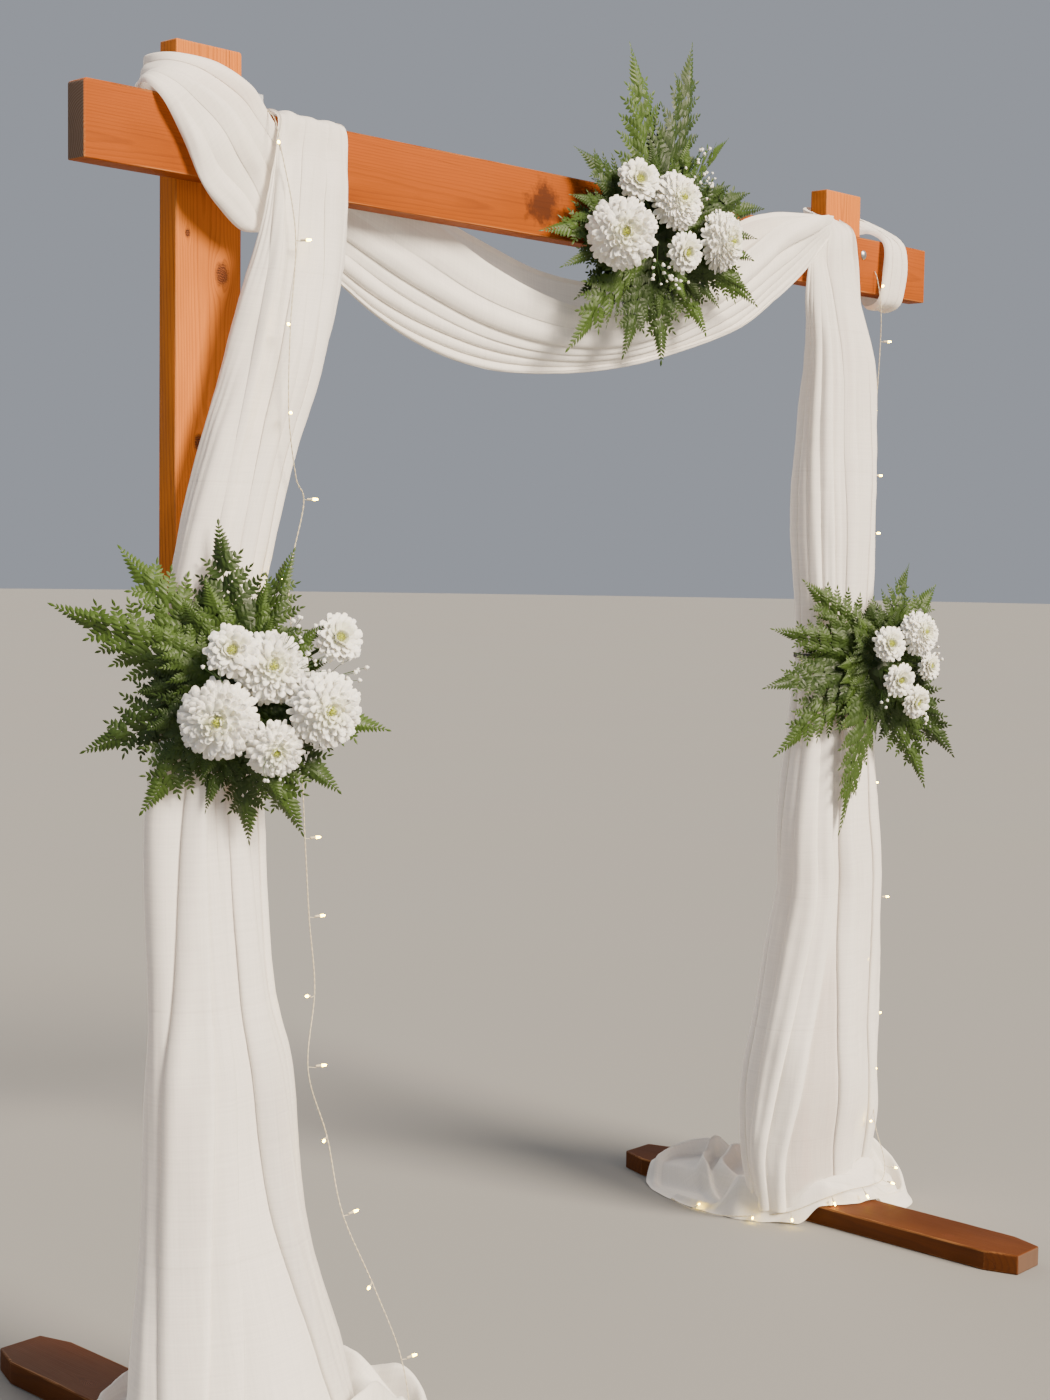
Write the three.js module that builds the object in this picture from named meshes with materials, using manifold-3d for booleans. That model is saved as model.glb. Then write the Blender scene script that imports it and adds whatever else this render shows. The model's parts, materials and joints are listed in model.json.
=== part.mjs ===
// Wooden ceremony arch: two posts on flat feet, a lapped cross beam, a white voile drape,
// three flower sprays and two strings of small lights.
// Millimetres, +Z up. The origin is at mid span on the ground, X runs along the beam,
// and -Y is the side that the beam, the drape and the flowers face.
import * as THREE from "three";
import { ConvexGeometry } from "three/addons/geometries/ConvexGeometry.js";
import { mergeVertices } from "three/addons/utils/BufferGeometryUtils.js";
import Module from "manifold-3d";

const wasm = await Module();
wasm.setup();

// Driving dimensions of the timber.
const BOARD_THICK = 45;
const POST_WIDTH = 140;
const POST_TOP = 2420;
const POST_SPACING = 1870;
const BEAM_LENGTH = 2440;
const BEAM_HEIGHT = 125;
const BEAM_BOTTOM = 2190;
const FOOT_LENGTH = 1130;
const FOOT_WIDTH = 140;
const FOOT_CHAMFER = [24, 72];
const POST_X = POST_SPACING / 2;

// Bolts through the beam and the post, as offsets from the post's centre line and heights.
const BOLT_RADIUS = 5;
const BOLT_HOLE_RADIUS = 5.3;
const BOLT_HEAD_RADIUS = 11;
const BOLT_HEAD_HEIGHT = 5;
const NUT_RADIUS = 9.5;
const NUT_HEIGHT = 8;
const BOLT_PLACES = [[-40, 2222], [20, 2276]];

// Clearance between pieces that lie against each other, and the drape's thickness.
// A guard is a piece with that clearance round it, which its neighbours are cut by.
const SEAT = 0.3;
const CLOTH = 6;

// The drape's folds: pleats of a hanging length, folds of the swag, fullness of a wrap.
const PLEATS = 4;
const PLEAT_DEPTH = 5;
const FULL_PLEAT_AT = 40;
const SWAG_FOLD = 4;
const SWAG_FOLDS = 6;
const BAND_FULLNESS = 8;

// Divisions of the cloth solids, across and along.
const TAIL_GRID = [14, 19];
const SWAG_GRID = [12, 20];
const WRAP_GRID = [4, 18];

// How far a hanging length's core reaches past its middle surface, and the share of its width
// that a guard is wider at its two long edges.
const CORE_GROW = 7;
const EDGE = 0.0008;

// Rows of a hanging length of cloth: centre x, y, z, half width, depth,
// first and last angle of its section in degrees, and tilt of its outer side from -Y.
const LEFT_TAIL = [
  [-775, 8, 2235, 76, 4, 0, 180, 180],
  [-770, 9, 2306, 77, 4, 0, 180, 155],
  [-767, -20, 2324, 78, 4, 0, 180, 90],
  [-766, -64, 2314, 78, 5, 0, 180, 15],
  [-775, -72, 2255, 85, 14, 0, 180, 0],
  [-787, -76, 2190, 91, 30, 0, 182, 0],
  [-807, -76, 2060, 97, 46, -3, 190, 0],
  [-849, -72, 1900, 104, 58, -8, 205, 0],
  [-911, -65, 1710, 98, 58, -12, 214, 0],
  [-957, -60, 1530, 95, 57, -15, 220, 0],
  [-977, -57, 1350, 90, 52, -15, 222, 0],
  [-989, -60, 1130, 111, 66, -15, 222, 0],
  [-977, -62, 850, 126, 75, -15, 222, 0],
  [-965, -66, 690, 148, 88, -14, 220, 0],
  [-954, -72, 440, 170, 100, -12, 218, 0],
  [-935, -80, 220, 208, 124, -10, 214, 0],
  [-915, -88, 30, 236, 142, -8, 210, 0],
];
const RIGHT_TAIL = [
  [838, -20, 2352, 60, 5, 0, 180, 60],
  [833, -55, 2322, 66, 6, 0, 180, 15],
  [822, -57, 2255, 95, 16, 0, 180, 0],
  [828, -56, 2170, 108, 34, 0, 184, 0],
  [862, -46, 2030, 112, 56, -12, 205, 0],
  [884, -30, 1850, 122, 70, -20, 218, 0],
  [886, -27, 1650, 124, 74, -24, 222, 0],
  [892, -28, 1350, 115, 68, -22, 222, 0],
  [886, -28, 980, 148, 88, -18, 224, 0],
  [914, -17, 800, 161, 95, -16, 224, 0],
  [921, 0, 645, 183, 106, -14, 222, 0],
  [924, 19, 455, 208, 118, -12, 220, 0],
  [936, 36, 290, 230, 122, -10, 216, 0],
  [946, 46, 165, 222, 112, -8, 214, 0],
  [966, 54, 30, 190, 98, -6, 210, 0],
];

// Rows of the swag: x, middle y, half depth, front top, bottom and back top heights.
const SWAG = [
  [-800, 30, 12, 2292, 2205, 2296],
  [-690, 36, 17, 2285, 2120, 2292],
  [-560, 42, 24, 2265, 2036, 2278],
  [-400, 44, 28, 2225, 1968, 2245],
  [-230, 38, 30, 2165, 1932, 2193],
  [-60, 8, 30, 2118, 1930, 2140],
  [110, -24, 30, 2110, 1952, 2130],
  [270, -54, 26, 2150, 1996, 2165],
  [436, -84, 22, 2255, 2058, 2282],
  [560, -84, 20, 2312, 2130, 2322],
  [680, -82, 18, 2330, 2210, 2336],
  [764, -80, 12, 2338, 2282, 2340],
];

// A band between two edges that wraps a post above the beam: upper edge, then lower edge.
const LEFT_WRAP = [
  [[-850, 58, 2392], [-850, 58, 2334]],
  [[-935, 60, 2394], [-935, 62, 2332]],
  [[-1010, 56, 2394], [-1020, 66, 2330]],
  [[-1022, 20, 2394], [-1072, 20, 2328]],
  [[-1000, -14, 2392], [-1092, -30, 2330]],
  [[-945, -32, 2386], [-1078, -60, 2302]],
  [[-888, -48, 2358], [-1038, -60, 2246]],
  [[-852, -50, 2308], [-1000, -60, 2180]],
  [[-818, -51, 2262], [-955, -54, 2142]],
  [[-800, -51, 2205], [-905, -49, 2114]],
  [[-790, -50, 2170], [-855, -46, 2118]],
];
const RIGHT_WRAP = [
  [[846, -14, 2378], [846, -14, 2336]],
  [[850, 40, 2384], [850, 40, 2334]],
  [[880, 60, 2386], [880, 62, 2332]],
  [[985, 60, 2386], [965, 62, 2328]],
  [[1050, 30, 2376], [1018, 24, 2334]],
  [[1092, -18, 2338], [1022, -18, 2334]],
  [[1106, -56, 2306], [1020, -56, 2306]],
  [[1106, -60, 2250], [1016, -60, 2250]],
  [[1100, -54, 2184], [1008, -54, 2180]],
  [[1090, -12, 2168], [1012, -12, 2166]],
  [[1080, 10, 2210], [1016, 10, 2210]],
];

// Outlines of the cloth that lies on the ground, and the middle of each heap.
const LEFT_POOL = [
  [-530, -160], [-560, -60], [-640, 50], [-740, 150], [-850, 225], [-960, 235], [-1075, 180],
  [-1160, 80], [-1208, -40], [-1206, -160], [-1160, -270], [-1070, -335], [-950, -350],
  [-820, -345], [-690, -310], [-590, -245],
];
const RIGHT_POOL = [
  [1213, -45], [1170, 60], [1120, 170], [1060, 300], [1000, 420], [900, 462], [822, 440],
  [775, 360], [755, 260], [750, 170], [768, 85], [805, 15], [860, -55], [930, -100],
  [1010, -122], [1095, -135], [1180, -112],
];
const LEFT_POOL_MIDDLE = [-915, -70];
const RIGHT_POOL_MIDDLE = [955, 110];
const POOL_HEIGHT = 46;
const POOL_RIM = 12;
const POOL_RIPPLE = 5;
const POOL_PROFILE = [[0, 0], [1, 0], [1, 0.2], [0.86, 0.5], [0.62, 0.8], [0.32, 0.95], [0, 1]];
const POOL_SIDES = 30;
const OVER_FOOT = 95;

// Flower sprays: middle of the bed, direction that it faces, fern tips and blooms.
// A bloom is its middle and its radius.
const SPRAYS = {
  left: {
    middle: [-1000, -155, 1340], face: [-0.67, -0.74, 0], bed: [95, 58, 105],
    tips: [
      [-1210, 66, 1490], [-1125, -5, 1585], [-1170, 35, 1245], [-1130, -70, 1150],
      [-970, -155, 1095], [-1010, -120, 1630], [-905, -190, 1585], [-795, -305, 1285],
      [-855, -250, 1180], [-905, -215, 1110],
    ],
    blooms: [
      [-1065, -190, 1310, 62], [-985, -225, 1392, 58], [-1050, -205, 1420, 42],
      [-922, -285, 1325, 60], [-992, -242, 1262, 46], [-895, -285, 1440, 40],
    ],
  },
  top: {
    middle: [110, -104, 2225], face: [-0.21, -0.98, 0], bed: [150, 62, 105],
    tips: [
      [50, -85, 2590], [218, -110, 2615], [320, -130, 2440], [420, -150, 2305],
      [-105, -80, 2365], [-190, -70, 2195], [-125, -85, 1970], [15, -110, 1965],
      [125, -120, 1960], [270, -120, 2030], [405, -150, 2100], [395, -145, 2195],
    ],
    blooms: [
      [-50, -160, 2200, 66], [8, -150, 2308, 42], [95, -175, 2278, 56],
      [222, -190, 2212, 60], [112, -185, 2178, 40],
    ],
  },
  right: {
    middle: [905, -136, 1330], face: [-0.42, -0.91, 0], bed: [85, 56, 95],
    tips: [
      [645, -30, 1415], [735, -50, 1525], [620, -30, 1280], [660, -35, 1125],
      [815, -110, 940], [995, -165, 1565], [1065, -195, 1515], [1120, -225, 1110],
      [1050, -190, 1040], [1085, -205, 1210],
    ],
    blooms: [
      [868, -200, 1382, 40], [955, -222, 1405, 50], [893, -212, 1300, 38],
      [985, -232, 1330, 32], [955, -218, 1248, 38],
    ],
  },
};
const FROND_WIDTH = 80;
const FROND_THICK = 5;
const FROND_ARCH = 0.04;
const FROND_STEPS = 6;
const BLOOM_DEPTH = 0.62;
const TIE_THICK = 3;
const TIE_HALF_WIDTH = 5;
const TIE_HEIGHT = 1350;
const TIE_SLACK = 5;
const TIE_ALONG = { left: 10 / 16, right: 7 / 14 };
const STEM_RADIUS = 4;

// Light strings: wire diameter and the route of each, from the beam down to the ground.
const WIRE = 2.4;
const CAP_RADIUS = 3;
const CAP_LENGTH = 12;
const WIRE_STEPS = 56;
const CONNECTOR = { low: [-864, -36, 2315], high: [-848, -10, 2326] };
const LEFT_STRING = [
  [-856, -37.4, 2320], [-856, -50, 2320], [-856, -74, 2302], [-858, -92, 2255], [-850, -122, 2110],
  [-872, -136, 1950], [-876, -138, 1810], [-842, -118, 1705], [-812, -104, 1660], [-838, -98, 1530],
  [-828, -100, 1400], [-815, -104, 1250], [-806, -106, 1095], [-796, -108, 944], [-784, -110, 818],
  [-812, -126, 684], [-772, -132, 558], [-768, -168, 431], [-724, -200, 301], [-692, -236, 180],
  [-690, -262, 80], [-716, -280, 34], [-770, -300, 30], [-828, -270, 34],
];
const RIGHT_STRING = [
  [1000, -46.6, 2243], [1000, -56, 2220], [1002, -66, 2150], [1014, -58, 2060], [1022, -44, 1900],
  [1024, -34, 1750], [1024, -34, 1600], [1027, -42, 1450], [1028, -50, 1300], [1026, -45, 1150],
  [1062, -33, 960], [1118, -23, 735], [1103, -10, 588], [1140, -6, 462], [1128, -22, 330],
  [1078, -60, 215], [1088, -84, 120], [1050, -106, 84], [985, -112, 82], [925, -98, 82],
  [868, -64, 66], [820, -8, 34], [784, 58, 16], [744, 140, 6], [730, 222, 6], [748, 292, 8],
];

const COLOURS = {
  post: 0xc98442, beam: 0xd0782f, foot: 0x96603f, steel: 0xb9bcc0, cloth: 0xf2ede6,
  tie: 0x1b1b1d, fern: 0x355a26, bloom: 0xf6f5ec, wire: 0xd9d4c4, connector: 0xc4c6c8,
};

const arch = new THREE.Group();

function place(name, geometry, colour, roughness, metalness = 0) {
  const material = new THREE.MeshStandardMaterial({ color: colour, roughness, metalness });
  const mesh = new THREE.Mesh(geometry, material);
  mesh.name = name;
  arch.add(mesh);
}

function toSolid(geometry) {
  const bare = geometry.clone();
  for (const name of Object.keys(bare.attributes)) {
    if (name !== "position") bare.deleteAttribute(name);
  }
  const merged = mergeVertices(bare, 1e-3);
  const mesh = new wasm.Mesh({
    numProp: 3,
    vertProperties: new Float32Array(merged.attributes.position.array),
    triVerts: new Uint32Array(merged.index.array),
  });
  return new wasm.Manifold(mesh);
}

function toGeometry(solid) {
  const mesh = solid.getMesh();
  const geometry = new THREE.BufferGeometry();
  geometry.setAttribute("position", new THREE.BufferAttribute(mesh.vertProperties, 3));
  geometry.setIndex(new THREE.BufferAttribute(mesh.triVerts, 1));
  return geometry;
}

function cut(solid, tools) {
  return tools.reduce((rest, tool) => rest.subtract(tool), solid);
}

function boxBetween(low, high, grow = 0) {
  const size = high.map((value, k) => value - low[k] + 2 * grow);
  const box = new THREE.BoxGeometry(...size);
  box.translate(...high.map((value, k) => (value + low[k]) / 2));
  return box;
}

// A plate whose middle surface is a formula of (across, along), each from 0 to 1.
function bentPlate(surface, across, along, thick) {
  const plate = new THREE.BoxGeometry(1, 1, 1, across, along, 1);
  const position = plate.attributes.position;
  const step = 1e-3;
  const du = new THREE.Vector3();
  const dv = new THREE.Vector3();
  for (let k = 0; k < position.count; k += 1) {
    const u = position.getX(k) + 0.5;
    const v = position.getY(k) + 0.5;
    du.subVectors(surface(u + step, v), surface(u - step, v));
    dv.subVectors(surface(u, v + step), surface(u, v - step));
    const normal = du.cross(dv).normalize();
    const point = surface(u, v).addScaledVector(normal, position.getZ(k) * thick);
    position.setXYZ(k, point.x, point.y, point.z);
  }
  return plate;
}

// Smooth values between rows of numbers, at t from 0 to 1 with t spaced by the rows' points.
function smoothRows(rows) {
  const width = rows[0].length;
  const curves = [];
  for (let first = 0; first < width; first += 3) {
    const points = rows.map((row) => new THREE.Vector3(
      row[first], row[first + 1] ?? 0, row[first + 2] ?? 0));
    curves.push(new THREE.CatmullRomCurve3(points, false, "catmullrom", 0.5));
  }
  return (t) => {
    const at = Math.min(1, Math.max(0, t));
    return curves.flatMap((curve) => curve.getPoint(at).toArray()).slice(0, width);
  };
}

// A hanging length of cloth: an open round section at each height, with upright pleats.
function hangingSurface(rows) {
  const row = smoothRows(rows);
  return (u, v) => {
    const [x, y, z, width, depth, first, last, tilt] = row(v);
    const angle = THREE.MathUtils.degToRad(last + (first - last) * u);
    const fullness = Math.min(1, depth / FULL_PLEAT_AT);
    const pleat = 1 + (PLEAT_DEPTH * fullness * Math.cos(2 * Math.PI * PLEATS * u)) / width;
    const out = depth * pleat * Math.sin(angle);
    const lean = THREE.MathUtils.degToRad(tilt);
    return new THREE.Vector3(
      x + width * pleat * Math.cos(angle), y - out * Math.cos(lean), z + out * Math.sin(lean));
  };
}

// The space inside a hanging length, up to the crests of its pleats.
function hangingCore(rows) {
  const row = smoothRows(rows);
  const column = new THREE.CylinderGeometry(1, 1, 1, 20, rows.length * 2);
  const position = column.attributes.position;
  for (let k = 0; k < position.count; k += 1) {
    const [x, y, z, width, depth] = row(position.getY(k) + 0.5);
    const [across, out] = [(width + CORE_GROW) * position.getX(k), (depth + CORE_GROW) * position.getZ(k)];
    position.setXYZ(k, x + across, y + out, z);
  }
  return column;
}

// The swag: a cloth folded lengthwise, so that each section is a U.
function swagSurface(rows) {
  const row = smoothRows(rows);
  return (u, v) => {
    const [x, y, halfDepth, front, bottom, back] = row(v);
    const turn = Math.PI * u;
    const top = u < 0.5 ? front : back;
    const fold = SWAG_FOLD * Math.sin(SWAG_FOLDS * turn) * Math.sin(Math.PI * v);
    return new THREE.Vector3(x, y - halfDepth * Math.cos(turn) + fold, top + (bottom - top) * Math.sin(turn));
  };
}

// A band between two smooth edges, full in the middle.
function bandSurface(rows) {
  const row = smoothRows(rows.map(([upper, lower]) => [...upper, ...lower]));
  return (u, v) => {
    const values = row(v);
    const upper = new THREE.Vector3(...values.slice(0, 3));
    const across = new THREE.Vector3(...values.slice(3)).sub(upper);
    const ahead = new THREE.Vector3(...row(v + 0.01).slice(3));
    const along = ahead.sub(new THREE.Vector3(...row(v - 0.01).slice(3)));
    const out = along.cross(across).normalize();
    return upper.addScaledVector(across, u).addScaledVector(out, BAND_FULLNESS * Math.sin(Math.PI * u));
  };
}

// Cloth heaped on the ground: a low mound inside a smooth outline, raised where it lies on a foot.
function pool(outline, middle, footX) {
  const points = outline.map(([x, y]) => new THREE.Vector3(x, y, 0));
  const edge = new THREE.CatmullRomCurve3(points, true, "catmullrom", 0.5);
  const mound = new THREE.LatheGeometry(POOL_PROFILE.map(([r, h]) => new THREE.Vector2(r, h)), POOL_SIDES);
  const position = mound.attributes.position;
  for (let k = 0; k < position.count; k += 1) {
    const reach = Math.hypot(position.getX(k), position.getZ(k));
    const turn = Math.atan2(position.getX(k), position.getZ(k)) / (2 * Math.PI);
    const rim = edge.getPoint((turn + 1) % 1);
    const height = position.getY(k);
    const x = middle[0] + (rim.x - middle[0]) * reach;
    const y = middle[1] + (rim.y - middle[1]) * reach;
    const onFoot = Math.exp(-(((x - footX) / OVER_FOOT) ** 4));
    const rise = POOL_RIM + (POOL_HEIGHT - POOL_RIM) * (1 - reach * reach) + onFoot * BOARD_THICK;
    const ripple = POOL_RIPPLE * Math.sin(Math.PI * reach) * Math.cos(6 * Math.PI * turn);
    position.setXYZ(k, x, y, height * (rise + ripple));
  }
  return mound;
}

// A squashed ball: half sizes along its width, its height and the direction it faces.
function puff(middle, face, width, height, depth, around, up) {
  const ball = new THREE.SphereGeometry(1, around, up);
  ball.scale(width, height, depth);
  const front = new THREE.Vector3(...face).normalize();
  const upward = new THREE.Vector3(0, 0, 1);
  const side = new THREE.Vector3().crossVectors(upward, front);
  ball.applyMatrix4(new THREE.Matrix4().makeBasis(side, upward, front));
  ball.translate(...middle);
  return ball;
}

// A fern frond as one arched blade, widest near its root.
function frond(root, tip, face) {
  const front = new THREE.Vector3(...face).normalize();
  const start = new THREE.Vector3(...root);
  const end = new THREE.Vector3(...tip);
  const middle = start.clone().lerp(end, 0.5).addScaledVector(front, FROND_ARCH * start.distanceTo(end));
  const spine = new THREE.QuadraticBezierCurve3(start, middle, end);
  return bentPlate((u, v) => {
    const t = Math.min(1, Math.max(0, v));
    const side = spine.getTangent(t).cross(front).normalize();
    const width = FROND_WIDTH * (0.12 + 0.88 * Math.sin(Math.PI * (0.18 + 0.8 * t)));
    return spine.getPoint(t).addScaledVector(side, (0.5 - u) * width).addScaledVector(
      spine.getTangent(0.5), (v - t) * 10);
  }, 1, FROND_STEPS, FROND_THICK);
}

// The same mesh with its faces turned outwards, if they pointed in.
function facingOut(geometry) {
  const flat = geometry.index ? geometry.toNonIndexed() : geometry;
  const p = flat.attributes.position;
  const [a, b, c] = [new THREE.Vector3(), new THREE.Vector3(), new THREE.Vector3()];
  let volume = 0;
  for (let k = 0; k < p.count; k += 3) {
    a.fromBufferAttribute(p, k);
    b.fromBufferAttribute(p, k + 1);
    c.fromBufferAttribute(p, k + 2);
    volume += a.dot(b.cross(c));
  }
  if (volume > 0) return flat;
  const turned = new Float32Array(p.array);
  for (let k = 0; k < turned.length; k += 9) {
    for (let n = 0; n < 3; n += 1) {
      turned[k + 3 + n] = p.array[k + 6 + n];
      turned[k + 6 + n] = p.array[k + 3 + n];
    }
  }
  return new THREE.BufferGeometry().setAttribute("position", new THREE.BufferAttribute(turned, 3));
}

function solidOf(geometry) {
  return toSolid(facingOut(geometry));
}

// The timber, its bolts and their holes.
function rod(radius, from, to, x, z, sides) {
  const cylinder = new THREE.CylinderGeometry(radius, radius, to - from, sides);
  cylinder.translate(x, (from + to) / 2, z);
  return cylinder;
}

function boltPlaces(postX) {
  return BOLT_PLACES.map(([offset, z]) => [postX + offset, z]);
}

function boltHoles(postX) {
  return boltPlaces(postX).map(([x, z]) =>
    solidOf(rod(BOLT_HOLE_RADIUS, -BOARD_THICK - 1, BOARD_THICK + 1, x, z, 12)));
}

function bolt([x, z]) {
  const head = solidOf(rod(BOLT_HEAD_RADIUS, -BOARD_THICK - BOLT_HEAD_HEIGHT, -BOARD_THICK, x, z, 12));
  const shank = solidOf(rod(BOLT_RADIUS, -BOARD_THICK - 1, BOARD_THICK + 1, x, z, 12));
  const nut = solidOf(rod(NUT_RADIUS, BOARD_THICK, BOARD_THICK + NUT_HEIGHT, x, z, 6));
  return head.add(shank).add(nut);
}

function foot(x) {
  const [slopeX, slopeY] = FOOT_CHAMFER;
  const [w, l] = [FOOT_WIDTH / 2, FOOT_LENGTH / 2];
  const plan = new THREE.Shape([
    [-w, -l + slopeY], [-w + slopeX, -l], [w - slopeX, -l], [w, -l + slopeY],
    [w, l - slopeY], [w - slopeX, l], [-w + slopeX, l], [-w, l - slopeY],
  ].map(([px, py]) => new THREE.Vector2(px, py)));
  const board = new THREE.ExtrudeGeometry(plan, { depth: BOARD_THICK, bevelEnabled: false });
  board.translate(x, 0, 0);
  return board;
}

function postBox(x, grow = 0) {
  return boxBetween([x - POST_WIDTH / 2, 0, BOARD_THICK], [x + POST_WIDTH / 2, BOARD_THICK, POST_TOP], grow);
}

function beamBox(grow = 0) {
  const half = BEAM_LENGTH / 2;
  return boxBetween([-half, -BOARD_THICK, BEAM_BOTTOM], [half, 0, BEAM_BOTTOM + BEAM_HEIGHT], grow);
}

function footGuard(x) {
  const [w, l] = [FOOT_WIDTH / 2, FOOT_LENGTH / 2];
  return boxBetween([x - w, -l, 0], [x + w, l, BOARD_THICK], SEAT);
}

const sides = { left: -POST_X, right: POST_X };
const holes = Object.values(sides).flatMap(boltHoles);
const timberGuards = [
  ...Object.values(sides).flatMap((x) => [postBox(x, SEAT), footGuard(x)]), beamBox(SEAT),
].map(solidOf);
const boltGuards = Object.values(sides).flatMap(boltPlaces).map(([x, z]) =>
  solidOf(rod(BOLT_HEAD_RADIUS + SEAT, -BOARD_THICK - BOLT_HEAD_HEIGHT - SEAT,
    BOARD_THICK + NUT_HEIGHT + SEAT, x, z, 12)));

for (const [side, x] of Object.entries(sides)) {
  place(`${side}_post`, toGeometry(cut(solidOf(postBox(x)), holes)), COLOURS.post, 0.55);
  place(`${side}_foot`, foot(x), COLOURS.foot, 0.7);
  boltPlaces(x).forEach((at, k) =>
    place(`${side}_bolt_${k + 1}`, toGeometry(bolt(at)), COLOURS.steel, 0.35, 1));
}
place("cross_beam", toGeometry(cut(solidOf(beamBox()), holes)), COLOURS.beam, 0.5);

// The light strings' wires and what they need free.
function wire(route, diameter) {
  const points = route.map((p) => new THREE.Vector3(...p));
  const path = new THREE.CatmullRomCurve3(points, false, "catmullrom", 0.5);
  const section = new THREE.Shape();
  section.absarc(0, 0, diameter / 2, 0, 2 * Math.PI);
  return new THREE.ExtrudeGeometry(section, {
    steps: WIRE_STEPS, curveSegments: 4, bevelEnabled: false, extrudePath: path,
  });
}

function stringCap(route) {
  const end = new THREE.Vector3(...route.at(-1));
  const along = end.clone().sub(new THREE.Vector3(...route.at(-2))).normalize();
  const cap = new THREE.CylinderGeometry(CAP_RADIUS, CAP_RADIUS, CAP_LENGTH, 8);
  cap.applyQuaternion(new THREE.Quaternion().setFromUnitVectors(new THREE.Vector3(0, 1, 0), along));
  const middle = end.addScaledVector(along, CAP_LENGTH / 2 + SEAT);
  cap.translate(middle.x, middle.y, middle.z);
  return cap;
}
const wires = { left: wire(LEFT_STRING, WIRE), right: wire(RIGHT_STRING, WIRE) };
const wireGuards = [wire(LEFT_STRING, WIRE + 2 * SEAT), wire(RIGHT_STRING, WIRE + 2 * SEAT)].map(solidOf);
const capGuards = [LEFT_STRING, RIGHT_STRING].map((route) => solidOf(stringCap(route)));

// The light strings' connector on the beam, and the small cap at the end of each wire.
place("light_connector", boxBetween(CONNECTOR.low, CONNECTOR.high), COLOURS.connector, 0.4, 0.6);
const connectorGuard = solidOf(boxBetween(CONNECTOR.low, CONNECTOR.high, SEAT));

// The drape.
const pools = {
  left: pool(LEFT_POOL, LEFT_POOL_MIDDLE, -POST_X),
  right: pool(RIGHT_POOL, RIGHT_POOL_MIDDLE, POST_X),
};
const hangs = { left: hangingSurface(LEFT_TAIL), right: hangingSurface(RIGHT_TAIL) };

function clothPlate(surface, [across, along], grow) {
  const margin = grow > 0 ? EDGE : 0;
  const reach = (u) => {
    if (u < EDGE) return u - margin;
    return u > 1 - EDGE ? u + margin : u;
  };
  return bentPlate((u, v) => surface(reach(u), v), across, along, CLOTH + grow);
}

const wraps = { left: bandSurface(LEFT_WRAP), right: bandSurface(RIGHT_WRAP) };
const hard = [...timberGuards, ...boltGuards, ...wireGuards, ...capGuards, connectorGuard];

const tailGuards = {};
for (const side of ["left", "right"]) {
  const heap = cut(solidOf(pools[side]), hard);
  place(`${side}_pool`, toGeometry(heap), COLOURS.cloth, 0.85);
  const lifted = pools[side].clone().translate(0, 0, SEAT);
  const tail = cut(solidOf(clothPlate(hangs[side], TAIL_GRID, 0)), [...hard, solidOf(lifted)]);
  place(`${side}_tail`, toGeometry(tail), COLOURS.cloth, 0.85);
  tailGuards[side] = solidOf(clothPlate(hangs[side], TAIL_GRID, 2 * SEAT));
}
const swagGuard = solidOf(clothPlate(swagSurface(SWAG), SWAG_GRID, 2 * SEAT));
const swagPlate = solidOf(clothPlate(swagSurface(SWAG), SWAG_GRID, 0));
const swag = cut(swagPlate, [...hard, ...Object.values(tailGuards)]);
place("swag", toGeometry(swag), COLOURS.cloth, 0.85);
for (const side of ["left", "right"]) {
  const band = cut(solidOf(clothPlate(wraps[side], WRAP_GRID, 0)), [...hard, tailGuards[side], swagGuard]);
  place(`${side}_wrap`, toGeometry(band), COLOURS.cloth, 0.85);
}

// The ties that hold the sprays: one round each post with its cloth, one round the beam.
function tieBand(points, grow) {
  const middle = points.reduce((sum, p) => sum.add(p), new THREE.Vector2()).divideScalar(points.length);
  const grown = points.map((p) => p.clone().add(p.clone().sub(middle).setLength(grow)));
  const half = TIE_HALF_WIDTH + (grow > SEAT ? 0 : 1);
  return new ConvexGeometry(grown.flatMap((p) => [-half, half].map((h) =>
    new THREE.Vector3(p.x, p.y, TIE_HEIGHT + h))));
}

function postTiePoints(postX, surface, along) {
  const [w, back] = [POST_WIDTH / 2, BOARD_THICK];
  const corners = [[postX - w, 0], [postX + w, 0], [postX + w, back], [postX - w, back]];
  const cloth = [];
  for (let k = 0; k <= TAIL_GRID[0]; k += 1) cloth.push(surface(k / TAIL_GRID[0], along));
  const middle = cloth.reduce((sum, p) => sum.add(p), new THREE.Vector3()).divideScalar(cloth.length);
  return [
    ...corners.map(([x, y]) => new THREE.Vector2(x, y)),
    ...cloth.map((p) => p.clone().add(p.clone().sub(middle).setLength(CLOTH / 2 + TIE_SLACK))).map(
      (p) => new THREE.Vector2(p.x, p.y)),
  ];
}

function beamTie(grow) {
  const [x, half] = [SPRAYS.top.middle[0], BEAM_BOTTOM + BEAM_HEIGHT];
  return boxBetween([x - TIE_HALF_WIDTH, -BOARD_THICK, BEAM_BOTTOM], [x + TIE_HALF_WIDTH, 0, half], grow);
}

const tieGuards = {};
for (const [side, along] of Object.entries(TIE_ALONG)) {
  const points = postTiePoints(sides[side], hangs[side], along);
  const outer = solidOf(tieBand(points, SEAT + TIE_THICK));
  tieGuards[side] = solidOf(tieBand(points, 2 * SEAT + TIE_THICK));
  const ring = cut(outer, [solidOf(tieBand(points, SEAT)), tailGuards[side], ...hard]);
  place(`${side}_tie`, toGeometry(ring), COLOURS.tie, 0.6);
}
place("top_tie", toGeometry(cut(solidOf(beamTie(SEAT + TIE_THICK)), hard)), COLOURS.tie, 0.6);
tieGuards.top = solidOf(beamTie(2 * SEAT + TIE_THICK));

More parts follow.
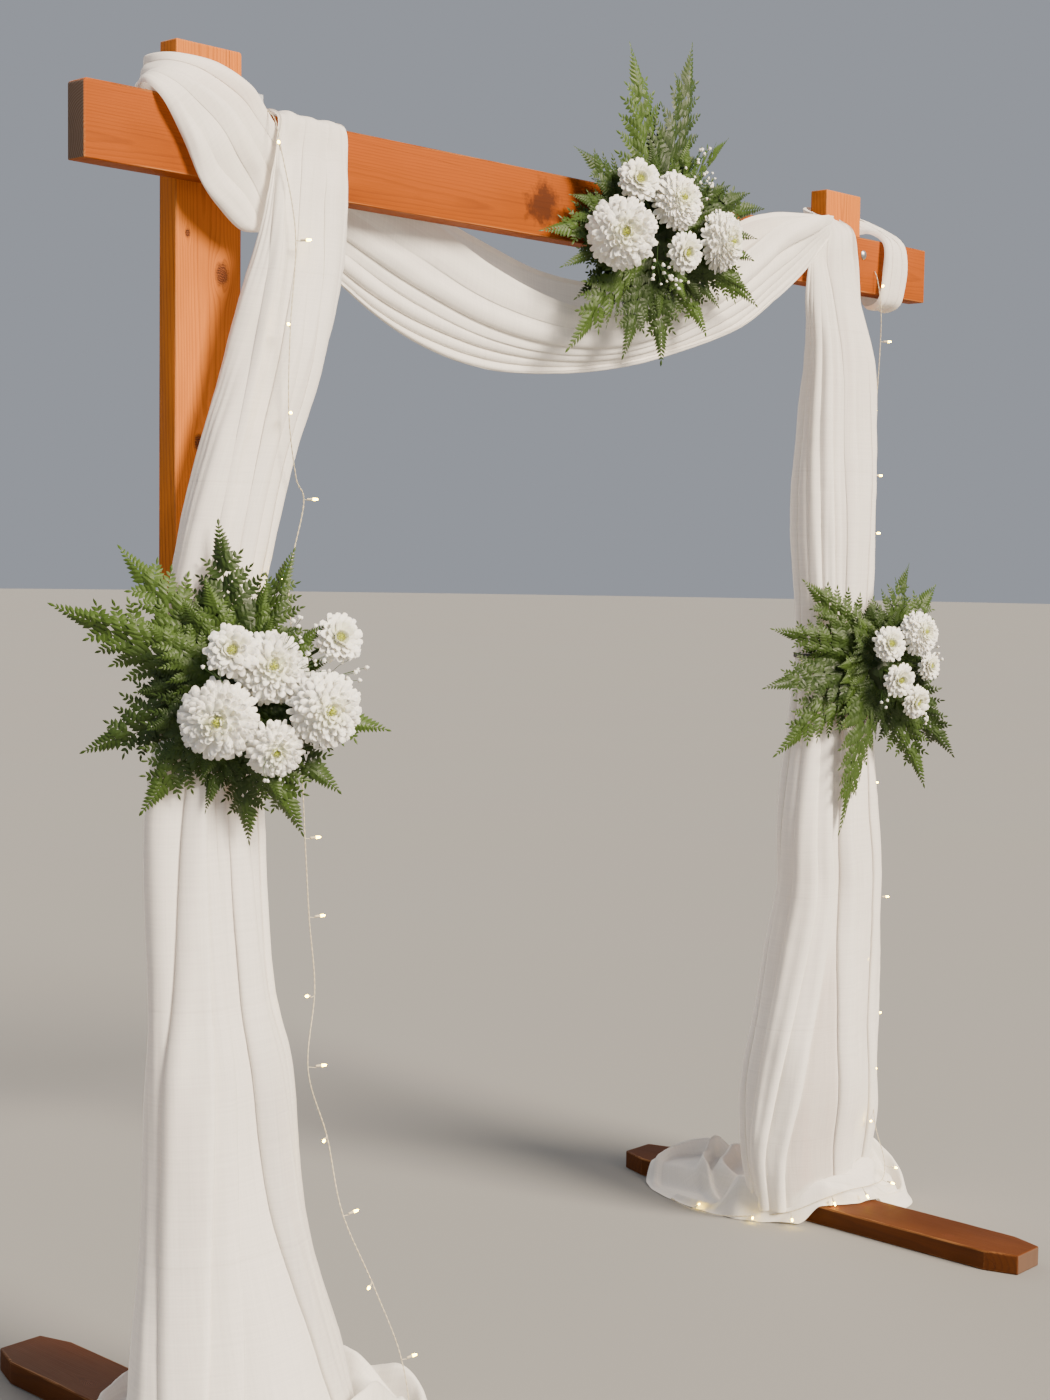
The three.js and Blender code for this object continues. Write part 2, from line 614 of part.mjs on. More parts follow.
// The flower sprays.
function stem(from, to) {
  const path = new THREE.LineCurve3(new THREE.Vector3(...from), new THREE.Vector3(...to));
  const section = new THREE.Shape();
  section.absarc(0, 0, STEM_RADIUS, 0, 2 * Math.PI);
  return new THREE.ExtrudeGeometry(section, {
    steps: 1, curveSegments: 3, bevelEnabled: false, extrudePath: path,
  });
}
const cores = [hangingCore(LEFT_TAIL.slice(6)), hangingCore(RIGHT_TAIL.slice(3))].map(solidOf);
const clothGuards = [tailGuards.left, tailGuards.right, swagGuard, ...cores];
for (const [side, spray] of Object.entries(SPRAYS)) {
  const [width, depth, height] = spray.bed;
  let bed = solidOf(puff(spray.middle, spray.face, width, height, depth, 12, 8));
  for (const tip of spray.tips) bed = bed.add(solidOf(frond(spray.middle, tip, spray.face)));
  for (const [x, y, z] of spray.blooms) bed = bed.add(solidOf(stem(spray.middle, [x, y, z])));
  const flowers = spray.blooms.map(([x, y, z, r]) => [[x, y, z], r]);
  const shape = (middle, r) => solidOf(puff(middle, spray.face, r, r, BLOOM_DEPTH * r, 12, 7));
  const guards = flowers.map(([middle, r]) => shape(middle, r + SEAT));
  bed = cut(bed, [...hard, ...clothGuards, tieGuards[side], ...guards]);
  place(`${side}_fern_bed`, toGeometry(bed), COLOURS.fern, 0.7);
  let taken = [];
  flowers.forEach(([middle, r], k) => {
    place(`${side}_bloom_${k + 1}`, toGeometry(cut(shape(middle, r), taken)), COLOURS.bloom, 0.8);
    taken = [...taken, guards[k]];
  });
}

// The light strings, each with a cap on the end of its wire.
for (const [side, route] of [["left", LEFT_STRING], ["right", RIGHT_STRING]]) {
  place(`${side}_light_string`, wires[side], COLOURS.wire, 0.4);
  place(`${side}_string_cap`, stringCap(route), COLOURS.wire, 0.4);
}

export default arch;
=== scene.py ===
"""Wooden ceremony arch: two posts on flat feet, a lapped cross beam, a white voile drape,
three flower sprays and two strings of small lights. Metres, +Z up, X along the beam;
-Y is the side that the beam, the drape and the flowers face."""
import json
import math
import random
from functools import lru_cache

import bmesh
import bpy
from bpy.props import FloatProperty, FloatVectorProperty, IntProperty, PointerProperty
from mathutils import Matrix, Vector, noise

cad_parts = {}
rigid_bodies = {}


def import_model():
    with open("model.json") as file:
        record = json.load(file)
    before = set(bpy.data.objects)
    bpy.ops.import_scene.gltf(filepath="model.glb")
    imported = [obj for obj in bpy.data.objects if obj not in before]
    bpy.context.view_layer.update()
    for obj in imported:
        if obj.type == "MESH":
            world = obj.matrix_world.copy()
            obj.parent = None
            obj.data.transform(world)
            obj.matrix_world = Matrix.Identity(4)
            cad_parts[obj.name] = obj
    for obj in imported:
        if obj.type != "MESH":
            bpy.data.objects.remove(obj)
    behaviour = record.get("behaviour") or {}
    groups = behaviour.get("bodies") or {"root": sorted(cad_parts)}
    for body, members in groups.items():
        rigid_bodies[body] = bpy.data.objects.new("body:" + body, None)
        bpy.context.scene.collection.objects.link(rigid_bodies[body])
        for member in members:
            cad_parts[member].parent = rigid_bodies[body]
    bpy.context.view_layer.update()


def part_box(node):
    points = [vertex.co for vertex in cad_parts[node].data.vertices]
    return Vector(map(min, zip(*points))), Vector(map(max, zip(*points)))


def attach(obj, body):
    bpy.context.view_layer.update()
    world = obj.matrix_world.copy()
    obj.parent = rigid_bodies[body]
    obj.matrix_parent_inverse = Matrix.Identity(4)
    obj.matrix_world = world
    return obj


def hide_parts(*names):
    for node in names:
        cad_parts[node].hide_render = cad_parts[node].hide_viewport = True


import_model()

bl_info = {
    "name": "Wooden ceremony arch",
    "version": (1, 0, 0),
    "blender": (4, 5, 0),
    "location": "View3D > Sidebar > Arch",
    "description": "Builds the timber, drape, sprays and light strings of a ceremony arch",
    "category": "Object",
}

UP = Vector((0.0, 0.0, 1.0))
SIDES = ("left", "right")
POST_X = {"left": -0.935, "right": 0.935}
TIE_HEIGHT = 1.350
# The camera's pitch, roll and yaw, its place, and its focal length over the photo's height.
CAMERA_TURN = (-0.075, 0.0149, 0.8275)
CAMERA_PLACE = (-3.2039, -2.8219, 1.6009)
CAMERA_FOCUS = 2103.0 / 1400.0
# The corners cut off a foot, across and along it, and each board's knots as middle and radius.
FOOT_CHAMFER = (0.024, 0.072)
KNOTS = {
    "left": [((-0.980, 0.0, 2.105), 0.005), ((-0.907, 0.0, 2.044), 0.013), ((-0.955, 0.0, 1.760), 0.009),
             ((-0.905, 0.045, 1.180), 0.014), ((-0.960, 0.045, 0.610), 0.010)],
    "right": [((0.960, 0.045, 1.900), 0.013), ((0.905, 0.045, 0.900), 0.011), ((0.915, 0.0, 1.240), 0.010)],
    "beam": [((0.640, -0.045, 2.245), 0.010), ((-0.560, 0.0, 2.225), 0.013), ((0.180, 0.0, 2.275), 0.011)],
    "feet": [((0.900, -0.380, 0.045), 0.010), ((-0.960, 0.300, 0.045), 0.012)],
}
# Profiles of turned forms as radius and height: a bolt's head and its other end, each from its
# own end of the bolt, then a lamp's sleeve, its bulb, and the cap on a string's end.
BOLT_HEAD = [(0.0, 0.0002), (0.0035, 0.0005), (0.0070, 0.0016), (0.0096, 0.0032), (0.0108, 0.0045),
             (0.0108, 0.0049), (0.0049, 0.0049)]
BOLT_END = [(0.0049, -0.0012), (0.0040, -0.0002), (0.0, -0.0002)]
SLEEVE = [(0.0, -0.0125), (0.0017, -0.0125), (0.0021, -0.0115), (0.0024, -0.004), (0.0024, -0.0025),
          (0.0, -0.0025)]
BULB = [(0.0, -0.003), (0.0022, -0.003), (0.0026, -0.0022), (0.0024, 0.001), (0.0019, 0.004),
        (0.0010, 0.0058), (0.0, 0.0062)]
CAP = [(0.0, -0.0062), (0.0016, -0.0062), (0.0024, -0.0052), (0.0027, -0.003), (0.0029, 0.003),
       (0.0026, 0.005), (0.0015, 0.006), (0.0, 0.0062)]
LAMP_SIDES = 10
# The length of wire in which the pair winds once round.
TWIST = 0.022
# Outline of a fern's leaflet, across and along.
LEAFLET = [(-0.20, -0.04), (0.20, -0.04), (0.50, 0.30), (0.46, 0.62), (0.0, 1.0), (-0.46, 0.62),
           (-0.50, 0.30)]
# An open bloom's rows of petals: lean from the middle in radians, how many, and reach. Each
# bloom is a dome, flattened to this share of its height.
OPEN_ROWS = [(0.45, 8, 0.80), (0.80, 12, 0.95), (1.12, 15, 1.0), (1.45, 16, 1.0), (1.75, 13, 0.92)]
BLOOM_HEIGHT = 0.62
# The connector's latch stands this much above the plain box.
CONNECTOR_LATCH = 0.022


def metres(rows, lengths=99):
    """Rows of numbers, the first of them turned from millimetres to metres."""
    return [(*[n / 1000 for n in row[:lengths]], *row[lengths:]) for row in rows]


# Rows of a hanging length of cloth, from its top: centre x, y, z, half width, depth, depths of its
# wide and of its narrow folds in mm, then first and last angle of its section and the tilt of its
# outer side.
TAILS = {
    "left": metres([
        (-775, 8, 2235, 76, 4, 1, 1, 0, 180, 180), (-770, 9, 2306, 77, 4, 1, 1.5, 0, 180, 155),
        (-767, -20, 2324, 78, 4, 2, 2, 0, 180, 90), (-766, -64, 2314, 78, 5, 3, 2, 0, 180, 15),
        (-775, -72, 2255, 85, 14, 5, 2, 0, 180, 0), (-787, -76, 2190, 91, 30, 8, 2, 0, 182, 0),
        (-807, -76, 2060, 97, 46, 10, 2, -3, 190, 0), (-849, -72, 1900, 104, 58, 12, 2.5, -8, 205, 0),
        (-911, -65, 1710, 98, 58, 12, 3, -12, 214, 0), (-957, -60, 1530, 95, 57, 11, 4, -15, 220, 0),
        (-977, -57, 1350, 90, 52, 9, 6, -15, 222, 0), (-989, -60, 1130, 111, 66, 14, 4, -15, 222, 0),
        (-977, -62, 850, 126, 75, 17, 2.5, -15, 222, 0), (-965, -66, 690, 148, 88, 20, 2, -14, 220, 0),
        (-954, -72, 440, 170, 100, 24, 2, -12, 218, 0), (-935, -80, 220, 208, 124, 26, 2, -10, 214, 0),
        (-915, -88, 30, 236, 142, 22, 3, -8, 210, 0),
    ], 7),
    "right": metres([
        (838, -20, 2352, 60, 5, 2, 2, 0, 180, 60), (833, -55, 2322, 66, 6, 3, 3, 0, 180, 15),
        (822, -57, 2255, 95, 16, 5, 3.5, 0, 180, 0), (828, -56, 2170, 108, 34, 8, 3, 0, 184, 0),
        (862, -46, 2030, 112, 56, 12, 3, -12, 205, 0), (884, -30, 1850, 122, 70, 14, 3, -20, 218, 0),
        (886, -27, 1650, 124, 74, 13, 4, -24, 222, 0), (892, -28, 1350, 115, 68, 10, 6, -22, 222, 0),
        (886, -28, 980, 148, 88, 16, 4, -18, 224, 0), (914, -17, 800, 161, 95, 18, 3, -16, 224, 0),
        (921, 0, 645, 183, 106, 20, 2.5, -14, 222, 0), (924, 19, 455, 208, 118, 24, 2, -12, 220, 0),
        (936, 36, 290, 230, 122, 26, 2, -10, 216, 0), (946, 46, 165, 222, 112, 26, 2, -8, 214, 0),
        (966, 54, 30, 190, 98, 22, 3, -6, 210, 0),
    ], 7),
}
# Rows of the swag in mm: x, middle y, half depth, front top, bottom and back top heights.
SWAG = metres([
    (-800, 16, 6, 2286, 2246, 2290), (-690, 36, 17, 2285, 2120, 2292), (-560, 42, 24, 2265, 2036, 2278),
    (-400, 44, 28, 2225, 1968, 2245), (-230, 38, 30, 2165, 1932, 2193), (-60, 8, 30, 2118, 1930, 2140),
    (110, -24, 30, 2110, 1952, 2130), (270, -54, 26, 2150, 1996, 2165), (436, -84, 22, 2255, 2058, 2282),
    (560, -84, 20, 2312, 2130, 2322), (680, -82, 18, 2330, 2210, 2336), (764, -80, 12, 2338, 2282, 2340),
])
# A band round a post and the beam, in mm: places of its upper edge and of its lower edge.
WRAPS = {
    "left": metres([
        (-850, 58, 2392, -850, 58, 2334), (-935, 60, 2394, -935, 62, 2332),
        (-1010, 56, 2394, -1020, 66, 2330), (-1022, 20, 2394, -1072, 20, 2328),
        (-1000, -14, 2392, -1092, -30, 2330), (-945, -34, 2384, -1078, -60, 2302),
        (-890, -48, 2355, -1038, -60, 2246), (-847, -50, 2311, -1000, -60, 2180),
        (-804, -51, 2260, -955, -54, 2142), (-800, -51, 2205, -905, -49, 2114),
        (-790, -50, 2170, -855, -46, 2118),
    ]),
    "right": metres([
        (846, -14, 2350, 846, -14, 2336), (850, 40, 2374, 850, 40, 2334), (880, 60, 2386, 880, 62, 2332),
        (985, 60, 2386, 965, 62, 2328), (1050, 30, 2376, 1018, 24, 2334),
        (1092, -18, 2338, 1022, -18, 2334), (1106, -56, 2306, 1020, -56, 2306),
        (1106, -60, 2250, 1016, -60, 2250), (1100, -54, 2184, 1008, -54, 2180),
        (1090, -12, 2168, 1012, -12, 2166), (1080, 10, 2210, 1016, 10, 2210),
    ]),
}
# Outlines of the cloth that lies on the ground in mm, and the middle of each heap in metres.
POOLS = {
    "left": metres([
        (-530, -160), (-560, -60), (-640, 50), (-740, 150), (-850, 225), (-960, 235), (-1075, 180),
        (-1160, 80), (-1208, -40), (-1206, -160), (-1160, -270), (-1070, -335), (-950, -350), (-820, -345),
        (-690, -310), (-590, -245),
    ]),
    "right": metres([
        (1213, -45), (1170, 60), (1120, 170), (1060, 300), (1000, 420), (900, 462), (822, 440), (775, 360),
        (755, 260), (750, 170), (768, 85), (805, 15), (860, -55), (930, -100), (1010, -122), (1095, -135),
        (1180, -112),
    ]),
}
POOL_MIDDLE = {"left": (-0.915, -0.070), "right": (0.955, 0.110)}
# Long folds of each cloth: the side that stands over the crease (1 towards the far edge), how
# soon the cloth rises on that side and on the other in mm, then the crease's place across the
# cloth in hundredths and its depth in mm, both at even steps along it.
FOLDS = {
    "left_tail": [
        (1, 4, 30, (12, 11, 14, 33, 34, 25, 22), (1, 3, 6, 6, 13, 10, 4)),
        (-1, 16, 26, (26, 27, 28, 41, 45, 42, 33), (1, 3, 5, 6, 10, 12, 8)),
        (-1, 5, 22, (38, 40, 34, 46, 52, 51, 43), (1, 3, 4, 4, 5, 7, 6)),
        (1, 4, 30, (47, 45, 40, 52, 57, 60, 72), (2, 5, 7, 7, 5, 15, 12)),
        (-1, 4, 20, (58, 56, 49, 63, 68, 73, 80), (2, 4, 6, 7, 7, 11, 10)),
        (1, 5, 22, (70, 69, 60, 74, 81, 83, 88), (1, 4, 6, 7, 8, 11, 12)),
        (-1, 5, 20, (86, 83, 81, 88, 90, 92, 94), (1, 3, 5, 6, 8, 9, 10)),
    ],
    "right_tail": [
        (-1, 5, 25, (3, 4, 7, 10, 8, 7, 5), (1, 3, 5, 6, 6, 7, 8)),
        (1, 4, 26, (10, 11, 17, 23, 21, 17, 11), (1, 5, 7, 7, 8, 9, 9)),
        (-1, 5, 24, (17, 20, 26, 33, 34, 27, 18), (2, 8, 4, 6, 7, 12, 8)),
        (-1, 3, 30, (25, 29, 35, 41, 43, 37, 29), (4, 12, 11, 10, 9, 15, 10)),
        (1, 4, 26, (36, 39, 44, 47, 47, 51, 53), (2, 6, 5, 7, 8, 11, 8)),
        (-1, 5, 22, (52, 52, 52, 54, 55, 59, 63), (1, 3, 6, 7, 7, 8, 7)),
        (1, 5, 22, (66, 65, 64, 66, 68, 71, 74), (1, 3, 6, 8, 9, 9, 9)),
        (-1, 5, 22, (78, 79, 79, 78, 81, 82, 84), (1, 3, 6, 8, 9, 9, 9)),
        (1, 5, 20, (90, 90, 90, 90, 91, 92, 93), (1, 3, 5, 7, 8, 9, 9)),
    ],
    "swag": [
        (-1, 4, 26, (10, 11, 11, 10, 7, 5, 4), (1, 4, 6, 5, 2, 1, 0)),
        (-1, 3, 34, (20, 20, 19, 19, 15, 12, 9), (2, 10, 15, 15, 15, 15, 4)),
        (-1, 3.5, 30, (25, 25, 24, 24, 21, 20, 14), (1, 6, 10, 10, 9, 9, 2)),
        (-1, 3, 32, (33, 33, 29, 29, 28, 26, 20), (2, 11, 14, 14, 10, 8, 2)),
        (-1, 3.5, 26, (41, 40, 35, 35, 35, 33, 27), (1, 7, 11, 12, 9, 5, 2)),
        (-1, 4, 24, (50, 48, 44, 44, 43, 41, 36), (1, 6, 8, 9, 7, 4, 2)),
        (1, 4, 26, (60, 59, 58, 57, 57, 58, 58), (1, 6, 8, 9, 8, 6, 2)),
        (1, 4, 26, (71, 69, 68, 69, 69, 70, 70), (1, 7, 9, 11, 9, 7, 2)),
        (1, 4, 26, (82, 81, 80, 80, 80, 81, 82), (1, 5, 7, 9, 8, 6, 2)),
        (1, 4, 22, (91, 90, 90, 91, 91, 92, 92), (1, 3, 4, 5, 5, 4, 1)),
    ],
    "left_wrap": [
        (-1, 5, 20, (30, 30, 30, 26, 16, 14, 15), (3, 4, 5, 6, 6, 5, 3)),
        (1, 4, 18, (52, 56, 61, 51, 34, 34, 36), (4, 4, 5, 7, 9, 8, 4)),
        (-1, 5, 18, (70, 73, 77, 72, 55, 54, 56), (3, 3, 4, 5, 6, 6, 4)),
        (1, 4, 16, (86, 87, 89, 88, 78, 70, 74), (3, 4, 6, 7, 8, 7, 4)),
    ],
    "right_wrap": [
        (-1, 4, 16, (25, 24, 23, 22, 23, 24, 25), (4, 5, 6, 7, 6, 5, 4)),
        (1, 4, 16, (50, 48, 46, 46, 49, 50, 50), (4, 5, 6, 7, 7, 6, 4)),
        (-1, 4, 14, (75, 74, 73, 72, 73, 74, 75), (4, 5, 5, 6, 6, 5, 4)),
    ],
}
# Folds of the cloth on the ground: half width in mm, then points as the place round the outline,
# the reach from the heap's middle to the outline, and the height in mm. A hollow's is negative.
RIDGES = [
    (12, [
        (0.364, 0.95, 12), (0.293, 0.93, 26), (0.24, 0.95, 40), (0.2, 0.95, 46), (0.17, 0.85, 48),
    ]),
    (9, [
        (0.196, 0.92, 46), (0.224, 0.86, 52), (0.257, 0.72, 50), (0.308, 0.6, 40), (0.414, 0.62, 28),
        (0.506, 0.8, 14),
    ]),
    (15, [
        (0.17, 0.74, 40), (0.229, 0.6, 44), (0.296, 0.45, 38), (0.4, 0.48, 28), (0.49, 0.56, 20),
        (0.56, 0.66, 12),
    ]),
    (14, [
        (0.48, 0.6, 10), (0.56, 0.63, 17), (0.65, 0.6, 22), (0.74, 0.58, 27), (0.82, 0.6, 31),
        (0.9, 0.68, 34), (0.95, 0.82, 34),
    ]),
    (8, [
        (0.43, 0.91, 9), (0.54, 0.88, 12), (0.66, 0.87, 14), (0.76, 0.84, 19), (0.87, 0.87, 27),
        (0.92, 0.92, 28),
    ]),
    (8, [(0.5, 0.64, 12), (0.57, 0.72, 17), (0.64, 0.8, 14), (0.72, 0.92, 8)]),
    (11, [(0.72, 0.6, 14), (0.79, 0.72, 20), (0.86, 0.8, 24), (0.94, 0.84, 28)]),
    (13, [(0.1, 0.86, 44), (0.06, 0.76, 42), (0.01, 0.72, 38), (-0.05, 0.8, 30), (-0.09, 0.9, 22)]),
    (16, [
        (0.075, 0.93, 40), (0.045, 0.97, 64), (0.012, 0.97, 86), (-0.012, 0.95, 70), (-0.04, 0.93, 42),
        (-0.07, 0.9, 26),
    ]),
    (15, [(0.25, 0.84, -18), (0.33, 0.74, -10)]),
    (8, [(0.235, 0.74, -20), (0.28, 0.58, -16), (0.34, 0.53, -10)]),
    (14, [(0.045, 0.86, -16), (0.0, 0.85, -14)]),
]
# Routes of the light strings' wires, from the beam down to the ground.
STRINGS = {
    "left": [
        (-0.856, -0.0374, 2.32), (-0.856, -0.05, 2.32), (-0.856, -0.074, 2.302), (-0.858, -0.092, 2.255),
        (-0.85, -0.122, 2.11), (-0.872, -0.136, 1.95), (-0.876, -0.138, 1.81), (-0.842, -0.118, 1.705),
        (-0.812, -0.104, 1.66), (-0.838, -0.098, 1.53), (-0.828, -0.1, 1.4), (-0.815, -0.104, 1.25),
        (-0.806, -0.106, 1.095), (-0.796, -0.108, 0.944), (-0.784, -0.11, 0.818), (-0.812, -0.126, 0.684),
        (-0.772, -0.132, 0.558), (-0.768, -0.168, 0.431), (-0.724, -0.2, 0.301), (-0.692, -0.236, 0.18),
        (-0.69, -0.262, 0.08), (-0.716, -0.28, 0.034), (-0.77, -0.3, 0.03), (-0.828, -0.27, 0.034),
    ],
    "right": [
        (1.0, -0.0466, 2.243), (1.0, -0.056, 2.22), (1.002, -0.066, 2.15), (1.014, -0.058, 2.06),
        (1.022, -0.044, 1.9), (1.024, -0.034, 1.75), (1.024, -0.034, 1.6), (1.027, -0.042, 1.45),
        (1.028, -0.05, 1.3), (1.026, -0.045, 1.15), (1.062, -0.033, 0.96), (1.118, -0.023, 0.735),
        (1.103, -0.01, 0.588), (1.14, -0.006, 0.462), (1.128, -0.022, 0.33), (1.078, -0.06, 0.215),
        (1.088, -0.084, 0.12), (1.05, -0.106, 0.084), (0.985, -0.112, 0.082), (0.925, -0.098, 0.082),
        (0.868, -0.064, 0.066), (0.82, -0.008, 0.034), (0.784, 0.058, 0.016), (0.744, 0.14, 0.006),
        (0.73, 0.222, 0.006), (0.748, 0.292, 0.008),
    ],
}
# Middles of the lamps' bulbs in mm.
LAMPS = {
    "left": metres([
        (-893, -128, 2252), (-838, -140, 2098), (-890, -152, 1954), (-884, -152, 1809), (-800, -118, 1668),
        (-862, -110, 1531), (-848, -120, 1400), (-798, -118, 1250), (-786, -116, 1086), (-776, -118, 948),
        (-812, -122, 812), (-790, -140, 690), (-792, -146, 558), (-748, -180, 431), (-744, -212, 301),
        (-670, -250, 170), (-694, -286, 62), (-790, -318, 30),
    ]),
    "right": metres([
        (985, -80, 2205), (1026, -74, 2081), (1002, -60, 1920), (1044, -48, 1770), (1030, -56, 1634),
        (1004, -54, 1500), (1040, -64, 1340), (1008, -66, 1180), (1050, -56, 1040), (1070, -52, 900),
        (1136, -40, 752), (1086, -26, 602), (1166, -10, 455), (1112, -38, 330), (1048, -70, 218),
        (1108, -104, 98), (1052, -132, 78), (955, -126, 66), (880, -84, 56), (800, -20, 20), (764, 68, 12),
        (752, 221, 12),
    ]),
}
# Flower sprays: the bed's middle, facing and half sizes, how many short fronds it has, seeds of the
# fern and of the filler, the long fronds' tips, blooms as middle and radius, and the heads of
# the small filler flowers as middle and number of buds.
SPRAYS = {
    "left": {
        "middle": (-1.0, -0.155, 1.34), "face": (-0.67, -0.74, 0), "bed": (0.095, 0.058, 0.105), "short": 18,
        "seeds": (5, 31),
        "tips": [
            (-1.21, 0.066, 1.49), (-1.125, -0.005, 1.585), (-1.17, 0.035, 1.245), (-1.13, -0.07, 1.15),
            (-0.97, -0.155, 1.095), (-1.01, -0.12, 1.63), (-0.905, -0.19, 1.585),
            (-0.795, -0.305, 1.285), (-0.855, -0.25, 1.18), (-0.905, -0.215, 1.11),
        ],
        "blooms": [
            (-1.065, -0.19, 1.31, 0.062), (-0.985, -0.225, 1.392, 0.058), (-1.05, -0.205, 1.42, 0.042),
            (-0.922, -0.285, 1.325, 0.06), (-0.992, -0.242, 1.262, 0.046), (-0.895, -0.285, 1.44, 0.04),
        ],
        "filler": [
            (-0.972, -0.275, 1.447, 9), (-0.940, -0.290, 1.408, 8), (-1.120, -0.245, 1.392, 5),
            (-1.012, -0.270, 1.222, 6), (-0.860, -0.285, 1.380, 7),
        ],
    },
    "top": {
        "middle": (0.11, -0.104, 2.225), "face": (-0.21, -0.98, 0), "bed": (0.15, 0.062, 0.105), "short": 24,
        "seeds": (9, 37),
        "tips": [
            (0.05, -0.085, 2.59), (0.218, -0.11, 2.615), (0.32, -0.13, 2.44), (0.42, -0.15, 2.305),
            (-0.105, -0.08, 2.365), (-0.19, -0.07, 2.195), (-0.125, -0.085, 1.97), (0.015, -0.11, 1.965),
            (0.125, -0.12, 1.96), (0.27, -0.12, 2.03), (0.405, -0.15, 2.1), (0.395, -0.145, 2.195),
        ],
        "blooms": [
            (-0.05, -0.16, 2.2, 0.066), (0.008, -0.15, 2.308, 0.042), (0.095, -0.175, 2.278, 0.056),
            (0.222, -0.19, 2.212, 0.06), (0.112, -0.185, 2.178, 0.04),
        ],
        "filler": [
            (0.186, -0.160, 2.330, 20), (0.205, -0.150, 2.392, 7), (0.150, -0.165, 2.255, 8),
            (0.046, -0.175, 2.132, 12), (0.090, -0.180, 2.120, 6),
        ],
    },
    "right": {
        "middle": (0.905, -0.136, 1.33), "face": (-0.42, -0.91, 0), "bed": (0.085, 0.056, 0.095), "short": 18,
        "seeds": (14, 41),
        "tips": [
            (0.645, -0.03, 1.415), (0.735, -0.05, 1.525), (0.62, -0.03, 1.28), (0.66, -0.035, 1.125),
            (0.815, -0.11, 0.94), (0.995, -0.165, 1.565), (1.065, -0.195, 1.515), (1.12, -0.225, 1.11),
            (1.05, -0.19, 1.04), (1.085, -0.205, 1.21),
        ],
        "blooms": [
            (0.868, -0.2, 1.382, 0.04), (0.955, -0.222, 1.405, 0.05), (0.893, -0.212, 1.3, 0.038),
            (0.985, -0.232, 1.33, 0.032), (0.955, -0.218, 1.248, 0.038),
        ],
        "filler": [
            (1.012, -0.225, 1.352, 8), (0.985, -0.222, 1.205, 5), (0.850, -0.205, 1.255, 4),
        ],
    },
}


# Colour and materials.

def linear(code):
    """An sRGB hex colour as linear red, green, blue and alpha."""
    parts = [int(code[k:k + 2], 16) / 255 for k in (0, 2, 4)]
    return (*[c / 12.92 if c <= 0.04045 else ((c + 0.055) / 1.055) ** 2.4 for c in parts], 1.0)


MODES = {"Math": "operation", "VectorMath": "operation", "Mix": "blend_type", "UVMap": "uv_map",
         "MapRange": "interpolation_type", "Attribute": "attribute_name"}


def add(tree, kind, *values, stops=(), **named):
    """Adds a shader node. A first word is its mode, and the other values fill its open inputs in
    order. Lower case names are settings, and capitals name inputs, with _ for spaces. A node given
    as a value stands for its first open output. A Mix mixes colours unless it says otherwise."""
    made = tree.nodes.new("ShaderNode" + kind)
    if kind == "Mix":
        made.data_type = "RGBA"
    if values and isinstance(values[0], str):
        setattr(made, MODES[kind], values[0])
        values = values[1:]
    for key in filter(str.islower, named):
        setattr(made, key, named[key])
    given = list(zip([socket for socket in made.inputs if socket.enabled], values))
    given += [(made.inputs[key.replace("_", " ")], named[key]) for key in named if not key.islower()]
    for socket, value in given:
        if isinstance(value, bpy.types.Node):
            value = next(output for output in value.outputs if output.enabled)
        if isinstance(value, bpy.types.NodeSocket):
            tree.links.new(value, socket)
        else:
            socket.default_value = value
    if stops:
        ramp = made.color_ramp.elements
        while len(ramp) < len(stops):
            ramp.new(1.0)
        for stop, (position, *colour) in zip(ramp, stops):
            stop.position, stop.color = position, (*(colour if len(colour) == 3 else colour * 3), 1.0)
    return made


def new_material(name):
    """An empty material of that name, its node tree, and the place on the object."""
    material = bpy.data.materials.new(name)
    material.use_nodes = True
    material.node_tree.nodes.clear()
    return material, material.node_tree, add(material.node_tree, "TexCoord").outputs["Object"]


def end_material(t, colour, roughness, height=None, strength=0.0, distance=0.0, **sockets):
    """Ends a material with its shader, bumped by a height, and its output."""
    if height:
        sockets["Normal"] = add(t, "Bump", Height=height, Strength=strength, Distance=distance)
    shader = add(t, "BsdfPrincipled", Base_Color=colour, Roughness=roughness, **sockets)
    add(t, "OutputMaterial", Surface=shader)


def knotted(t, place, bent, knots, vector):
    """Turns the grain's place aside round knots, and gives their dark spots and their rings too."""
    dark_knot = ringed = 0.0
    for centre, radius in knots:
        offset = add(t, "VectorMath", "SUBTRACT", place, centre)
        near = add(t, "VectorMath", "MULTIPLY", offset, vector(1.0, 0.5))
        pull = add(t, "MapRange", "SMOOTHERSTEP", add(t, "VectorMath", "LENGTH", near),
                   0.0, 3.4 * radius, 1.5 * radius, 0.0)
        push = add(t, "VectorMath", "SCALE", add(t, "VectorMath", "NORMALIZE", near), pull)
        bent = add(t, "VectorMath", "SUBTRACT", bent, push)
        near = add(t, "VectorMath", "MULTIPLY", offset, vector(1.0, 0.72))
        edge = add(t, "Math", "MULTIPLY_ADD", add(t, "TexNoise", place, 90.0, 3.0), 0.7 * radius,
                   add(t, "VectorMath", "LENGTH", near))
        spot = add(t, "MapRange", "SMOOTHSTEP", edge, 1.05 * radius, 1.75 * radius, 1.0, 0.0)
        dark_knot = add(t, "Math", "MAXIMUM", dark_knot, spot)
        ring = add(t, "Math", "SINE", add(t, "Math", "MULTIPLY", edge, 2200.0))
        ringed = add(t, "Math", "ADD", ringed, ring)
    return bent, dark_knot, ringed


